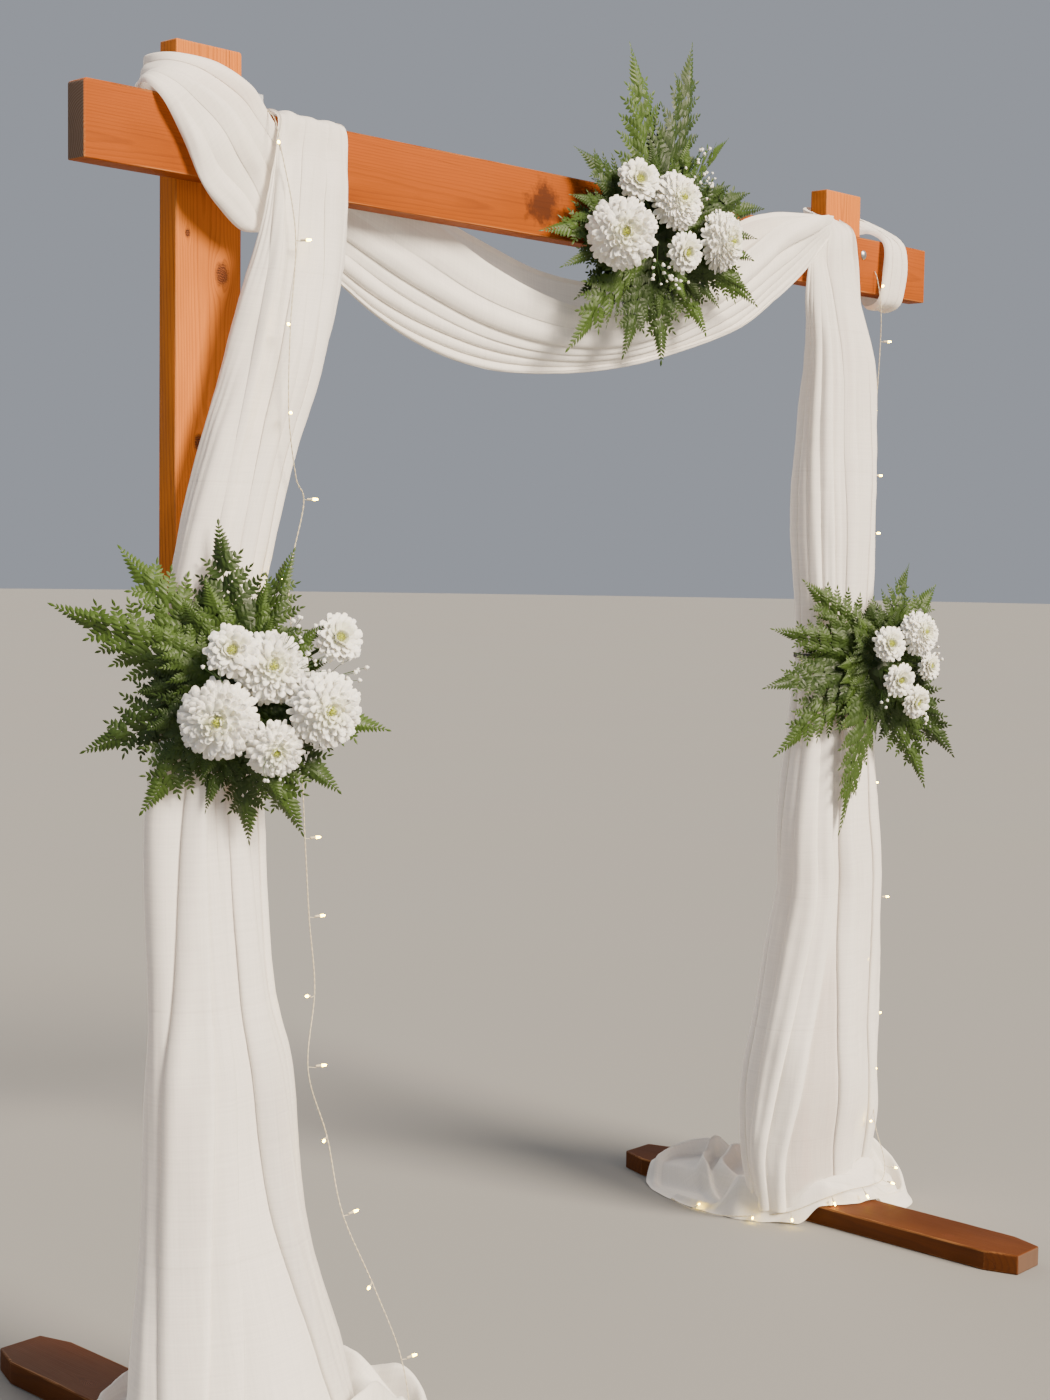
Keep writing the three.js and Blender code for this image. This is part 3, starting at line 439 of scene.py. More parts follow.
def painted_frond_shadow(t, place, colour, centre, radius):
    """A painted shadow of the top spray's fronds: a darkened patch with a ragged edge, over a colour."""
    far = add(t, "VectorMath", "LENGTH", add(t, "VectorMath", "SUBTRACT", place, centre))
    edge = add(t, "Math", "MULTIPLY_ADD", add(t, "TexNoise", place, 38.0, 5.0, 0.65), -2.4 * radius, far)
    patch = add(t, "MapRange", "SMOOTHSTEP", edge, -0.75 * radius, 0.15 * radius, 0.85, 0.0)
    return add(t, "Mix", patch, colour, linear("3b1c0b"))


def planed_pine(name, axis, pale, dark, spacing, pith, knots, weather, stain=None):
    """Planed and oiled softwood. The rings show on the faces as long arches, knots turn the
    grain aside, and the sawn ends are grey from the weather. The gloss is a thin oil's. A stain,
    when given, is a painted shadow: a darkened patch."""
    material, t, place = new_material(name)
    along = "XYZ".index(axis)

    def vector(across, lengthwise):
        return [lengthwise if k == along else across for k in range(3)]

    drift = add(t, "TexNoise", add(t, "Mapping", place, Scale=vector(9.0, 1.3)), 1.0, 2.0).outputs["Color"]
    drift = add(t, "VectorMath", "SCALE", add(t, "VectorMath", "SUBTRACT", drift, (0.5, 0.5, 0.5)), 0.022)
    bent = add(t, "VectorMath", "ADD", place, drift)
    bent, dark_knot, ringed = knotted(t, place, bent, knots, vector)
    # 0.314 over the spacing is the wave's scale for rings that far apart.
    at = add(t, "Mapping", bent, Location=pith, Rotation=vector(0.012, 0.0))
    rings = add(t, "TexWave", at, 0.314 / spacing, 0.7, 2.0, 0.6, 0.5, wave_type="RINGS",
                rings_direction=axis, wave_profile="SAW").outputs["Fac"]
    fibre = add(t, "TexNoise", add(t, "Mapping", bent, Scale=vector(620.0, 9.0)), 1.0, 3.0)
    cloud = add(t, "TexNoise", add(t, "Mapping", place, Scale=vector(5.0, 1.6)), 1.0, 4.0)
    grain = add(t, "ValToRGB", rings, stops=[(0.0, 0.0), (0.55, 0.18), (0.86, 0.85), (1.0, 0.25)])
    depth = add(t, "Math", "ADD", add(t, "Math", "MULTIPLY", grain, 0.46),
                add(t, "Math", "MULTIPLY_ADD", fibre, 0.55, -0.27), use_clamp=True)
    tone = add(t, "ValToRGB", cloud, stops=[
        (0.32, 0.70, 0.66, 0.62), (0.5, 1.0), (0.7, 1.12, 1.06, 1.0)])
    colour = add(t, "Mix", "MULTIPLY", 0.9, add(t, "Mix", depth, pale, dark), tone)
    split = add(t, "TexNoise", add(t, "Mapping", bent, Scale=vector(55.0, 1.1)), 1.0, 0.0)
    split = add(t, "Math", "ABSOLUTE", add(t, "Math", "SUBTRACT", split, 0.5))
    crack = add(t, "Math", "MULTIPLY", add(t, "MapRange", split, 0.0, 0.012, 1.0, 0.0),
                add(t, "MapRange", cloud, 0.5, 0.62))
    # Painted shade: each crack is darkened as if shade lay inside it, besides its bump.
    colour = add(t, "Mix", add(t, "Math", "MULTIPLY", crack, 0.75), colour, linear("2a160c"))
    heart = add(t, "Mix", add(t, "Math", "MULTIPLY_ADD", ringed, 0.3, 0.4, use_clamp=True),
                linear("3a1a0a"), linear("7d4520"))
    colour = add(t, "Mix", dark_knot, colour, heart)
    # Painted shadow: the stain patch stands for the shadow that the top spray's fronds cast on the beam.
    if stain is not None:
        colour = painted_frond_shadow(t, place, colour, *stain)
    rubbed = add(t, "Math", "MULTIPLY", add(t, "Attribute", "wear").outputs["Fac"],
                 add(t, "MapRange", fibre, 0.42, 0.6))
    colour = add(t, "Mix", add(t, "Math", "MULTIPLY", rubbed, 0.6), colour, linear("b07a48"))
    facing = add(t, "SeparateXYZ", add(t, "TexCoord").outputs["Normal"]).outputs[along]
    sawn = add(t, "MapRange", add(t, "Math", "ABSOLUTE", facing), 0.75, 0.95)
    # The ends have lost their oil: grey brown, with the rings as darker arcs.
    end_tone = add(t, "Mix", grain, linear("746b60"), linear("3a332c"))
    colour = add(t, "Mix", sawn, colour, add(t, "Mix", 1 - weather, end_tone, colour))
    height = add(t, "Math", "MULTIPLY_ADD", depth, -0.6, fibre)
    height = add(t, "Math", "MULTIPLY_ADD", crack, -2.0, height)
    rough = add(t, "Mix", sawn, add(t, "MapRange", fibre, 0.0, 1.0, 0.52, 0.74), 0.85, data_type="FLOAT")
    end_material(t, colour, rough, height, 0.35, 0.0006, Specular_IOR_Level=0.15)
    return material


def woven_voile(name, white, opacity):
    """Plain woven voile: sheer and soft, so light comes through from behind. Uneven threads
    show as faint streaks, and the narrow hem is twice as thick. Threads are 0.3 mm apart and
    drawn as coarse as 3 mm, to show. Packing creases cross the cloth every 0.31 m, bumped and
    darkened with painted shade."""
    material, t, place = new_material(name)
    uv = add(t, "UVMap", "cloth")
    warp, weft = (add(t, "TexNoise", add(t, "Mapping", uv, Scale=scale), 1.0, 2.0)
                  for scale in ((340.0, 7.0, 1.0), (9.0, 340.0, 1.0)))
    threads = add(t, "Math", "ADD", warp, weft)
    hem, layers = (add(t, "Attribute", key).outputs["Fac"] for key in ("hem", "layers"))
    hem = add(t, "MapRange", "SMOOTHSTEP", hem, 0.006, 0.010, 1.0, 0.0)
    crease = add(t, "Math", "PINGPONG", add(t, "SeparateXYZ", uv).outputs["Y"], 0.155)
    crease = add(t, "MapRange", "SMOOTHSTEP", crease, 0.0, 0.003, 1.0, 0.0)
    colour = add(t, "Mix", add(t, "TexNoise", place, 3.0), white, linear("f3eee6"))
    # Painted shade: the cloth is darkened along each packing crease, where shade would lie in the fold.
    colour = add(t, "Mix", add(t, "Math", "MULTIPLY", crease, 0.12), colour, linear("c9c1b8"))
    colour = add(t, "Mix", add(t, "MapRange", threads, 0.75, 1.25, 0.06, 0.0), colour, linear("c4bfc4"))
    height = add(t, "Math", "MULTIPLY_ADD", hem, 1.5, threads)
    height = add(t, "Math", "MULTIPLY_ADD", crease, 1.2, height)
    bump = add(t, "Bump", Height=height, Strength=0.2, Distance=0.0008)
    front = add(t, "BsdfPrincipled", Base_Color=colour, Roughness=0.82, Normal=bump,
                Specular_IOR_Level=0.25, Sheen_Weight=0.25, Sheen_Roughness=0.5)
    lit = add(t, "MixShader", 0.20, front, add(t, "BsdfTranslucent", Color=colour, Normal=bump))
    dense = add(t, "Math", "MULTIPLY_ADD", layers, 1.0 - opacity, opacity - 0.04)
    dense = add(t, "Math", "MULTIPLY_ADD", add(t, "MapRange", threads, 0.7, 1.3), 0.08, dense)
    dense = add(t, "Math", "MULTIPLY_ADD", hem, 0.25, dense, use_clamp=True)
    add(t, "OutputMaterial", Surface=add(t, "MixShader", dense, add(t, "BsdfTransparent"), lit))
    return material


def zinc_plate(name):
    """Zinc plated steel bolts: pale grey metal, a little dull and mottled."""
    material, t, place = new_material(name)
    mottle = add(t, "TexNoise", place, 260.0, 4.0)
    end_material(t, add(t, "Mix", mottle, linear("b4b6b8"), linear("8f9294")),
                 add(t, "MapRange", mottle, 0.0, 1.0, 0.28, 0.5), mottle, 0.2, 0.0003, Metallic=1.0)
    return material


def moulded_pvc(name, tint, smooth, rough):
    """Soft clear or tinted PVC of the wires and fittings: milky, with a low moulded gloss."""
    material, t, place = new_material(name)
    haze = add(t, "TexNoise", place, 120.0, 3.0)
    shade = add(t, "Mix", "MULTIPLY", 0.5, tint, haze.outputs["Color"])
    end_material(t, add(t, "Mix", 0.3, tint, shade), add(t, "MapRange", haze, 0.0, 1.0, smooth, rough),
                 haze, 0.1, 0.0002, Specular_IOR_Level=0.5)
    return material


def lit_epoxy(name, glow, strength):
    """The clear epoxy bulb of a warm white diode, lit: brightest at its tip."""
    material, t, _ = new_material(name)
    tip = add(t, "Attribute", "tip").outputs["Fac"]
    end_material(t, linear("fff2d8"), 0.2, Emission_Color=glow,
                 Emission_Strength=add(t, "MapRange", tip, 0.0, 1.0, 0.35 * strength, strength))
    return material


def fresh_petal(name, white, heart):
    """Chrysanthemum petals: matt, soft and a little clear, with fine lengthwise veins, and
    yellow green towards the flower's heart."""
    material, t, place = new_material(name)
    reach, young = (add(t, "Attribute", key).outputs["Fac"] for key in ("reach", "young"))
    veins = add(t, "TexNoise", place, 420.0, 2.0)
    colour = add(t, "Mix", add(t, "MapRange", reach, 0.0, 0.45), linear("f4f1d8"), white)
    green = add(t, "Math", "MULTIPLY", young, add(t, "MapRange", reach, 0.0, 1.0, 1.0, 0.45))
    colour = add(t, "Mix", "MULTIPLY", 0.18, add(t, "Mix", green, colour, heart), veins.outputs["Color"])
    end_material(t, colour, 0.6, veins, 0.15, 0.0003, Specular_IOR_Level=0.3, Subsurface_Weight=0.25,
                 Subsurface_Radius=(0.6, 0.5, 0.35), Subsurface_Scale=0.004, Sheen_Weight=0.1)
    return material


def waxy_leaf(name, deep, light):
    """Leatherleaf fern: leathery, deep green with a wax sheen, each frond of its own shade and
    paler towards its tip."""
    material, t, place = new_material(name)
    shade, reach = (add(t, "Attribute", key).outputs["Fac"] for key in ("shade", "reach"))
    patch = add(t, "TexNoise", place, 45.0, 3.0)
    mixed = add(t, "Math", "SUBTRACT", add(t, "Math", "MULTIPLY_ADD", reach, 0.3, shade), 0.25)
    mixed = add(t, "Math", "MULTIPLY_ADD", patch, 0.5, mixed, use_clamp=True)
    end_material(t, add(t, "Mix", mixed, deep, light), add(t, "MapRange", patch, 0.0, 1.0, 0.38, 0.6),
                 patch, 0.2, 0.0005, Specular_IOR_Level=0.3)
    return material


def flat_paint(name, colour):
    """Plain matt paint of the studio floor, with a faint unevenness."""
    material, t, place = new_material(name)
    uneven = add(t, "TexNoise", place, 0.6).outputs["Color"]
    end_material(t, add(t, "Mix", "MULTIPLY", 0.03, colour, uneven), 0.9, Specular_IOR_Level=0.1)
    return material


# Shapes.

def between(rows, t, closed=False):
    """The values at t from 0 to 1 on a smooth curve through rows of numbers."""
    count = len(rows)
    if closed:
        at = (t % 1.0) * count
        k = int(at)
        four = [rows[(k + j) % count] for j in (-1, 0, 1, 2)]
    else:
        at = min(max(t, 0.0), 1.0) * (count - 1)
        k = min(int(at), count - 2)
        before = rows[k - 1] if k > 0 else [2 * a - b for a, b in zip(rows[0], rows[1])]
        after = rows[k + 2] if k < count - 2 else [2 * a - b for a, b in zip(rows[-1], rows[-2])]
        four = [before, rows[k], rows[k + 1], after]
    f = at - k
    values = []
    for a, b, c, d in zip(*four):
        m, n = (c - a) / 2, (d - b) / 2
        values.append(b + f * (m + f * (3 * (c - b) - 2 * m - n + f * (2 * (b - c) + m + n))))
    return values


def mesh_of(bm, name="part"):
    """The mesh of a bmesh, which is freed."""
    mesh = bpy.data.meshes.new(name)
    bm.to_mesh(mesh)
    bm.free()
    return mesh


def placed(name, data, matrix=Matrix()):
    """Puts an object with that data in the scene."""
    made = bpy.data.objects.new(name, data)
    made.matrix_world = matrix
    bpy.context.scene.collection.objects.link(made)
    return made


def piece(name, bm, material, slot, *stands_for, smooth=True, sharp=None):
    """Makes an object of a bmesh, with its material, and fixes it to the arch's body."""
    mesh = mesh_of(bm, name)
    mesh.materials.append(material)
    if smooth:
        mesh.shade_smooth()
    if sharp is not None:
        mesh.set_sharp_from_angle(angle=math.radians(sharp))
    made = placed(name, mesh)
    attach(made, "root")
    if stands_for:
        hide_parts(*stands_for)
    return made


def stamp(bm, source, matrix=Matrix()):
    """Adds a copy of a mesh to a bmesh that has lost no vertex, placed by a matrix, and returns its
    vertices. A source that is itself a bmesh is used up."""
    mesh = source if isinstance(source, bpy.types.Mesh) else mesh_of(source)
    first = len(bm.verts)
    bm.from_mesh(mesh)
    bm.verts.ensure_lookup_table()
    added = bm.verts[first:]
    bmesh.ops.transform(bm, matrix=matrix, verts=added)
    if mesh is not source:
        bpy.data.meshes.remove(mesh)
    return added


def sweep(bm, points, radius, closed=False, sides=1):
    """Adds a round rod along points, by a bevelled curve, and returns its vertices."""
    data = bpy.data.curves.new("sweep", "CURVE")
    data.dimensions, data.bevel_depth, data.bevel_resolution = "3D", radius, sides
    data.use_fill_caps = not closed
    line = data.splines.new("POLY")
    line.points.add(len(points) - 1)
    line.use_cyclic_u = closed
    for point, place in zip(line.points, points):
        point.co = (*place, 1.0)
    holder = bpy.data.objects.new("sweep", data)
    mesh = bpy.data.meshes.new_from_object(holder)
    bpy.data.objects.remove(holder)
    bpy.data.curves.remove(data)
    added = stamp(bm, mesh)
    bpy.data.meshes.remove(mesh)
    return added


def turned(profile, steps, axis=UP):
    """A closed form: a profile of (radius, height) spun round an axis through the origin."""
    bm = bmesh.new()
    verts = [bm.verts.new(Vector((r, 0.0, 0.0)) + axis * h) for r, h in profile]
    edges = [bm.edges.new(pair) for pair in zip(verts, verts[1:])]
    bmesh.ops.spin(bm, geom=verts + edges, cent=(0, 0, 0), axis=axis, dvec=(0, 0, 0), angle=2 * math.pi,
                   steps=steps, use_merge=True, use_duplicate=False)
    bmesh.ops.remove_doubles(bm, verts=bm.verts, dist=1e-6)
    bmesh.ops.recalc_face_normals(bm, faces=bm.faces)
    return bm


def block(size):
    """A box round the origin."""
    bm = bmesh.new()
    bmesh.ops.create_cube(bm, size=1.0)
    bmesh.ops.scale(bm, vec=size, verts=bm.verts)
    return bm


def ball(radius, subdivisions=3):
    """A ball of triangles round the origin."""
    bm = bmesh.new()
    bmesh.ops.create_icosphere(bm, subdivisions=subdivisions, radius=radius)
    return bm


def bevelled(bm, edges, offset, segments=2):
    """Rounds edges over."""
    bmesh.ops.bevel(bm, geom=edges, offset=offset, offset_type="OFFSET", segments=segments, profile=0.5,
                    material=-1, affect="EDGES")


def aimed(place, direction):
    """A matrix that puts local +Z along a direction, local +Y upwards, and the origin at a place."""
    front = Vector(direction).normalized()
    side = UP.cross(front)
    if side.length < 1e-6:
        side = Vector((1.0, 0.0, 0.0)).cross(front)
    side.normalize()
    return aligned(place, side, front.cross(side), front)


def aligned(place, side, along, up):
    """A matrix that puts local X, Y and Z along three directions, and the origin at a place."""
    return Matrix.Translation(place) @ Matrix((side, along, up)).transposed().to_4x4()


def radial(angle):
    """The level direction at an angle."""
    return Vector((math.cos(angle), math.sin(angle), 0.0))


def unit(value):
    """The value, held between 0 and 1."""
    return min(1.0, max(0.0, value))


def valley(s, soft=0.02):
    """A narrow soft valley at each whole number, from 1 down to 0 on the rounded panels between."""
    return 1.0 - math.sqrt(math.sin(math.pi * s) ** 2 + soft)


def waver(place, size, seed):
    """Smooth unevenness between about -1 and 1, of that size in metres."""
    return noise.noise(Vector(place) / size + Vector((seed * 7.3, seed * 3.1, seed * 1.7)))


def float_layers(bm, *names):
    """Attributes of a bmesh's vertices."""
    return [bm.verts.layers.float.new(name) for name in names]


def cloth(name, surface, across, along, size, hem, layers, node, closed=False, spread=None):
    """A sheet of voile over a surface of (across, along), each from 0 to 1. size is the cut's width
    and length, hem the distance to its nearest edge, and layers how many lie behind each other."""
    look = bpy.context.scene.arch_drape
    voile = bpy.data.materials.get("woven_voile") or woven_voile("woven_voile", look.colour[:], look.opacity)
    bm = bmesh.new()
    bmesh.ops.create_grid(bm, x_segments=across, y_segments=along, size=0.5)
    edge, thick = float_layers(bm, "hem", "layers")
    uv = bm.loops.layers.uv.new("cloth")
    flat = {}
    for v in bm.verts:
        u, w = v.co.x + 0.5, v.co.y + 0.5
        if spread is not None:
            u = spread(u, w)
        flat[v] = (u * size[0], w * size[1])
        v[edge], v[thick] = hem(u, w), layers(u, w)
        v.co = surface(u, w)
    for face in bm.faces:
        for loop in face.loops:
            loop[uv].uv = flat[loop.vert]
    if closed:
        bmesh.ops.remove_doubles(bm, verts=bm.verts, dist=1e-5)
    return piece(name, bm, voile, "voile", node)


def long_folds(lines, base, columns):
    """The long folds of a sheet: their places at w, where the grid's columns go so that they run
    along the creases, and how far in and across the folds move a point."""
    rows = [[place / 100 for place in line[3]] for line in lines]
    marks = [0.0, *[round(columns * sum(row) / len(row)) / columns for row in rows], 1.0]
    places, depths = list(zip(*rows)), list(zip(*[line[4] for line in lines]))

    @lru_cache(maxsize=None)
    def section(w):
        ring = [base(k / 12, w) for k in range(13)]
        return between(places, w), between(depths, w), sum((b - a).length for a, b in zip(ring, ring[1:]))

    def spread(g, w):
        edges = [0.0, *section(w)[0], 1.0]
        k = max(j for j in range(len(marks) - 1) if marks[j] <= g + 1e-6)
        f = (g - marks[k]) / (marks[k + 1] - marks[k])
        return edges[k] + (edges[k + 1] - edges[k]) * (f - 0.10 * math.sin(2 * math.pi * f))

    def moved(u, w):
        where, deep, girth = section(w)
        inward = across = 0.0
        for (side, near, far, _, _), place, depth in zip(lines, where, deep):
            d = (u - place) * girth * side * 1000.0
            sharp = min(1.0, depth / 8.0) ** 2
            rise = near + 14.0 * (1.0 - sharp)
            if d < 0:
                inward += depth * math.exp(d / far)
                continue
            # The raised side rolls over: its lip stands proud, and laps over a deep crease.
            inward += depth * (1.3 * math.exp(-d / rise) - 0.3 * math.exp(-d / 6.0) * (1.0 - sharp)
                               - 0.3 * sharp * math.exp(-d / 3.0) - 0.4 * math.exp(-((d - 17.0) / 11.0) ** 2))
            across -= side * sharp * 1.3 * d * math.exp(1.0 - d / near)
        return inward / 1000.0, across / 1000.0
    return section, spread, moved


def folded(base, moved, inward, extra, step=0.002):
    """The base surface with its long folds and the extra unevenness. inward is 1 where across
    and along give the inner side's normal, or -1."""
    folds = bpy.context.scene.arch_drape.folds

    def shaped(u, w):
        across = (base(u + step, w) - base(u - step, w)).normalized()
        along = base(u, w + step) - base(u, w - step)
        deep, aside = moved(u, w)
        depth = folds * (deep + extra(u, w))
        return base(u, w) + across.cross(along).normalized() * (inward * depth) + across * (folds * aside)
    return shaped


# Settings that a user may change.

def tint(name, about, code):
    """A setting that is a colour."""
    return FloatVectorProperty(name=name, description=about, subtype="COLOR", size=4, default=linear(code),
                               min=0, max=1)


def number(name, about, default, low, high, **kind):
    """A setting that is a number."""
    return FloatProperty(name=name, description=about, default=default, min=low, max=high, **kind)


class ArchTimber(bpy.types.PropertyGroup):
    """Sizes and colours of the boards and bolts."""
    edge: number("Eased edge", "Radius of the boards' rounded edges", 0.0028, 0.0005, 0.01, unit="LENGTH")
    post_colour: tint("Post colour", "Oiled pine of the posts", "c47026")
    beam_colour: tint("Beam colour", "Stained pine of the beam", "96490a")
    foot_colour: tint("Foot colour", "Worn stain of the feet", "5e3210")


class ArchDrape(bpy.types.PropertyGroup):
    """Look of the drape and its folds."""
    colour: tint("Cloth colour", "White of the voile", "fffcf5")
    opacity: number("Opacity", "How much one layer of voile hides", 0.84, 0.3, 1.0, subtype="FACTOR")
    folds: number("Fold depth", "Depth of the folds beside the modelled one", 1.0, 0.2, 1.4, subtype="FACTOR")


class ArchSprays(bpy.types.PropertyGroup):
    """Look and fullness of the flower sprays."""
    petal_colour: tint("Petal colour", "White of the blooms", "fffdf4")
    heart_colour: tint("Heart colour", "Yellow green of the blooms' middles", "b4c02c")
    leaf_colour: tint("Leaf colour", "Deep green of the fern", "1b2b0c")
    frond_width: number("Frond width", "Width of a full frond", 0.162, 0.05, 0.25, unit="LENGTH")
    petals: IntProperty(name="Petals", description="Petals on a full bloom", default=215, min=20, max=400)


class ArchLights(bpy.types.PropertyGroup):
    """Sizes and glow of the light strings."""
    wire: number("Wire", "Width of the twisted pair of wires", 0.0024, 0.001, 0.006, unit="LENGTH")
    glow: tint("Lamp colour", "Warm white of the lamps", "ffd400")
    strength: number("Lamp strength", "Brightness of the bulbs", 120.0, 0.0, 500.0)


class ArchStage(bpy.types.PropertyGroup):
    """Floor and light of the studio."""
    floor_colour: tint("Floor colour", "Pale paint of the floor", "8f8e8b")
    key: number("Key light", "Strength of the main soft light", 10.2, 0.0, 20.0)


# Operators, each after the functions of its pieces.

class ARCH_OT_stage(bpy.types.Operator):
    """Sets up the camera, the floor and the soft studio lights"""
    bl_idname = "arch.stage"
    bl_label = "Camera, floor and lights"

    def execute(self, context):
        look = context.scene.arch_stage
        pitch, roll, yaw = CAMERA_TURN
        front = Vector((math.sin(yaw) * math.cos(pitch), math.cos(yaw) * math.cos(pitch), math.sin(pitch)))
        level = Vector((math.cos(yaw), -math.sin(yaw), 0.0))
        upright = level.cross(front)
        right = level * math.cos(roll) + upright * math.sin(roll)
        top = upright * math.cos(roll) - level * math.sin(roll)
        data = bpy.data.cameras.new("camera")
        data.sensor_width, data.lens, data.clip_end = 36.0, 36.0 * CAMERA_FOCUS, 200.0
        context.scene.camera = placed("camera", data, aligned(CAMERA_PLACE, right, top, -front))

        bm = bmesh.new()
        bmesh.ops.create_circle(bm, cap_ends=True, radius=60.0, segments=96)
        mesh = mesh_of(bm, "floor")
        mesh.materials.append(flat_paint("painted_floor", look.floor_colour[:]))
        placed("floor", mesh)

        world = bpy.data.worlds.new("studio")
        world.use_nodes = True
        world.node_tree.nodes.clear()
        sky = add(world.node_tree, "Background", Color=linear("dde3ef"), Strength=0.44)
        add(world.node_tree, "OutputWorld", Surface=sky)
        context.scene.world = world
        for name, towards, power, spread, colour in (
                ("key_light", (0.3, -3.6, 2.4), look.key, 24.0, "ffeed8"),
                ("side_light", (-4.0, -1.6, 2.0), 0.02 * look.key, 40.0, "e4e9ff"),
                ("back_light", (0.8, 4.0, 2.6), 0.12 * look.key, 40.0, "fff4e6")):
            light = bpy.data.lights.new(name, "SUN")
            light.energy, light.angle, light.color = power, math.radians(spread), linear(colour)[:3]
            placed(name, light, aimed((0.0, 0.0, 4.0), towards))
        return {"FINISHED"}


def hang_lamp(leads, bulbs, tip, path, bulb):
    """A lamp with its sleeve and the two short leads that join it to the string's path."""
    foot = min(path, key=lambda p: (p - bulb).length)
    way = (bulb - foot).normalized()
    bend = foot.lerp(bulb, 0.5) - UP * (0.10 * (bulb - foot).length)
    for offset in (-0.0005, 0.0005):
        aside = Vector((0.0, offset, 0.0))
        lead = (foot, foot.lerp(bend, 0.6), bend, bulb - way * 0.012)
        sweep(leads, [p + aside for p in lead], 0.00055, sides=0)
    stamp(leads, turned(SLEEVE, LAMP_SIDES), aimed(bulb, way))
    for v in stamp(bulbs, turned(BULB, LAMP_SIDES), aimed(bulb, way)):
        v[tip] = unit((v.co - bulb).dot(way) / 0.006)


def twin_wire(path, thick):
    """Two wires that wind round each other along a path."""
    bm = bmesh.new()
    for half in (0.0, math.pi):
        twisted, run, aside = [], 0.0, Vector((0.0, 1.0, 0.0))
        for k, point in enumerate(path):
            last = path[max(k - 1, 0)]
            ahead = (path[min(k + 1, len(path) - 1)] - last).normalized()
            aside = (aside - ahead * aside.dot(ahead)).normalized()
            run += (point - last).length
            turn = half + 2 * math.pi * run / TWIST
            out = aside * math.cos(turn) + ahead.cross(aside) * math.sin(turn)
            twisted.append(point + out * 0.23 * thick)
        sweep(bm, twisted, 0.27 * thick, sides=0)
    return bm


def light_string(side, insulated, look):
    """A light string: a twisted pair of wires along its route, its lamps and its end cap."""
    route = STRINGS[side]
    steps = 60 * (len(route) - 1)
    path = [Vector(between(route, k / steps)) for k in range(steps + 1)]
    wire = piece(f"{side}_twin_wire", twin_wire(path, look.wire), insulated, "light_wire",
                 f"{side}_light_string")

    leads, bulbs = bmesh.new(), bmesh.new()
    tip, = float_layers(bulbs, "tip")
    for place in LAMPS[side]:
        hang_lamp(leads, bulbs, tip, path, Vector(place))
    lead_piece = piece(f"{side}_lamp_leads", leads, insulated, "light_wire")
    epoxy = lit_epoxy(f"{side}_lit_epoxy", look.glow[:], look.strength)
    bulb_piece = piece(f"{side}_lamp_bulbs", bulbs, epoxy, "light_housing")
    low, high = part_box(f"{side}_string_cap")
    cap = turned(CAP, LAMP_SIDES)
    bmesh.ops.transform(cap, matrix=aimed((low + high) / 2, path[-1] - path[-40]), verts=cap.verts)
    end = piece(f"{side}_end_cap", cap, insulated, "light_wire", f"{side}_string_cap")


class ARCH_OT_light_strings(bpy.types.Operator):
    """Lays the two light strings: twisted wires, lamps on short leads, end caps and the connector"""
    bl_idname = "arch.light_strings"
    bl_label = "Light strings"

    def execute(self, context):
        insulated = moulded_pvc("clear_pvc", linear("d6ccb0"), 0.25, 0.62)
        for side in SIDES:
            light_string(side, insulated, context.scene.arch_lights)
        low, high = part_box("light_connector")
        high = high + UP * CONNECTOR_LATCH
        bm = block((high - low) * 0.98)
        bmesh.ops.translate(bm, vec=(low + high) / 2, verts=bm.verts)
        rims = [f for f in bm.faces if abs(f.normal.y) > 0.9]
        bmesh.ops.inset_region(bm, faces=rims, thickness=0.002, depth=-0.0008)
        bevelled(bm, bm.edges[:], 0.0009)
        silver = moulded_pvc("silver_plastic", linear("c2c5c8"), 0.2, 0.35)
        piece("clear_connector", bm, silver, "light_housing", "light_connector", sharp=40)
        return {"FINISHED"}


def cut_corners(bm):
    """Cuts a foot's four upright corners off, seen from above."""
    across, along = FOOT_CHAMFER
    upright = [e for e in bm.edges if abs(e.verts[0].co.z - e.verts[1].co.z) > 0.01]
    for e in upright:
        x, y = (math.copysign(1.0, e.verts[0].co[k]) for k in range(2))
        at = Vector((e.verts[0].co.x, e.verts[0].co.y - y * along, 0.0))
        done = bmesh.ops.bisect_plane(bm, geom=bm.verts[:] + bm.edges[:] + bm.faces[:], plane_co=at,
                                      plane_no=(x * along, y * across, 0.0), clear_outer=True)
        loose = [g for g in done["geom_cut"] if isinstance(g, bmesh.types.BMEdge)]
        bmesh.ops.holes_fill(bm, edges=loose, sides=0)


def board(name, material, slot, axis, edge, seed, chips=()):
    """A planed board with eased, worn edges and chipped corners, in the box of its solid."""
    low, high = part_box(name)
    along = "XYZ".index(axis)
    bm = block(high - low)
    if slot == "foot_timber":
        cut_corners(bm)
    bmesh.ops.translate(bm, vec=(low + high) / 2, verts=bm.verts)
    for corner, offset in chips:
        near = [e for e in bm.edges if ((e.verts[0].co + e.verts[1].co) / 2 - Vector(corner)).length < 0.03]
        bevelled(bm, near, offset, 3)
    bevelled(bm, [e for e in bm.edges if e.calc_face_angle(0) > 0.6], edge, 3)
    wide_faces = [f for f in bm.faces if f.calc_area() > 0.002]
    bmesh.ops.inset_individual(bm, faces=wide_faces, thickness=0.0012, depth=0.0)
    long_edges = [e for e in bm.edges if e.calc_length() > 0.4 * (high - low)[along]]
    bmesh.ops.subdivide_edges(bm, edges=long_edges, cuts=40, use_grid_fill=True)
    wear, = float_layers(bm, "wear")
    for v in bm.verts:
        inside = [min(v.co[k] - low[k], high[k] - v.co[k]) for k in range(3) if k != along]
        v[wear] = 1.0 if max(inside) < edge + 0.0006 else 0.0
    for v in bm.verts:
        if v[wear]:
            v.co -= v.normal * (0.0005 + 0.0005 * waver(v.co, 0.05, seed))
        else:
            v.co -= v.normal * (0.0003 + 0.0003 * waver(v.co, 0.25, seed + 3))
    piece(name + "_board", bm, material, slot, name, sharp=40)


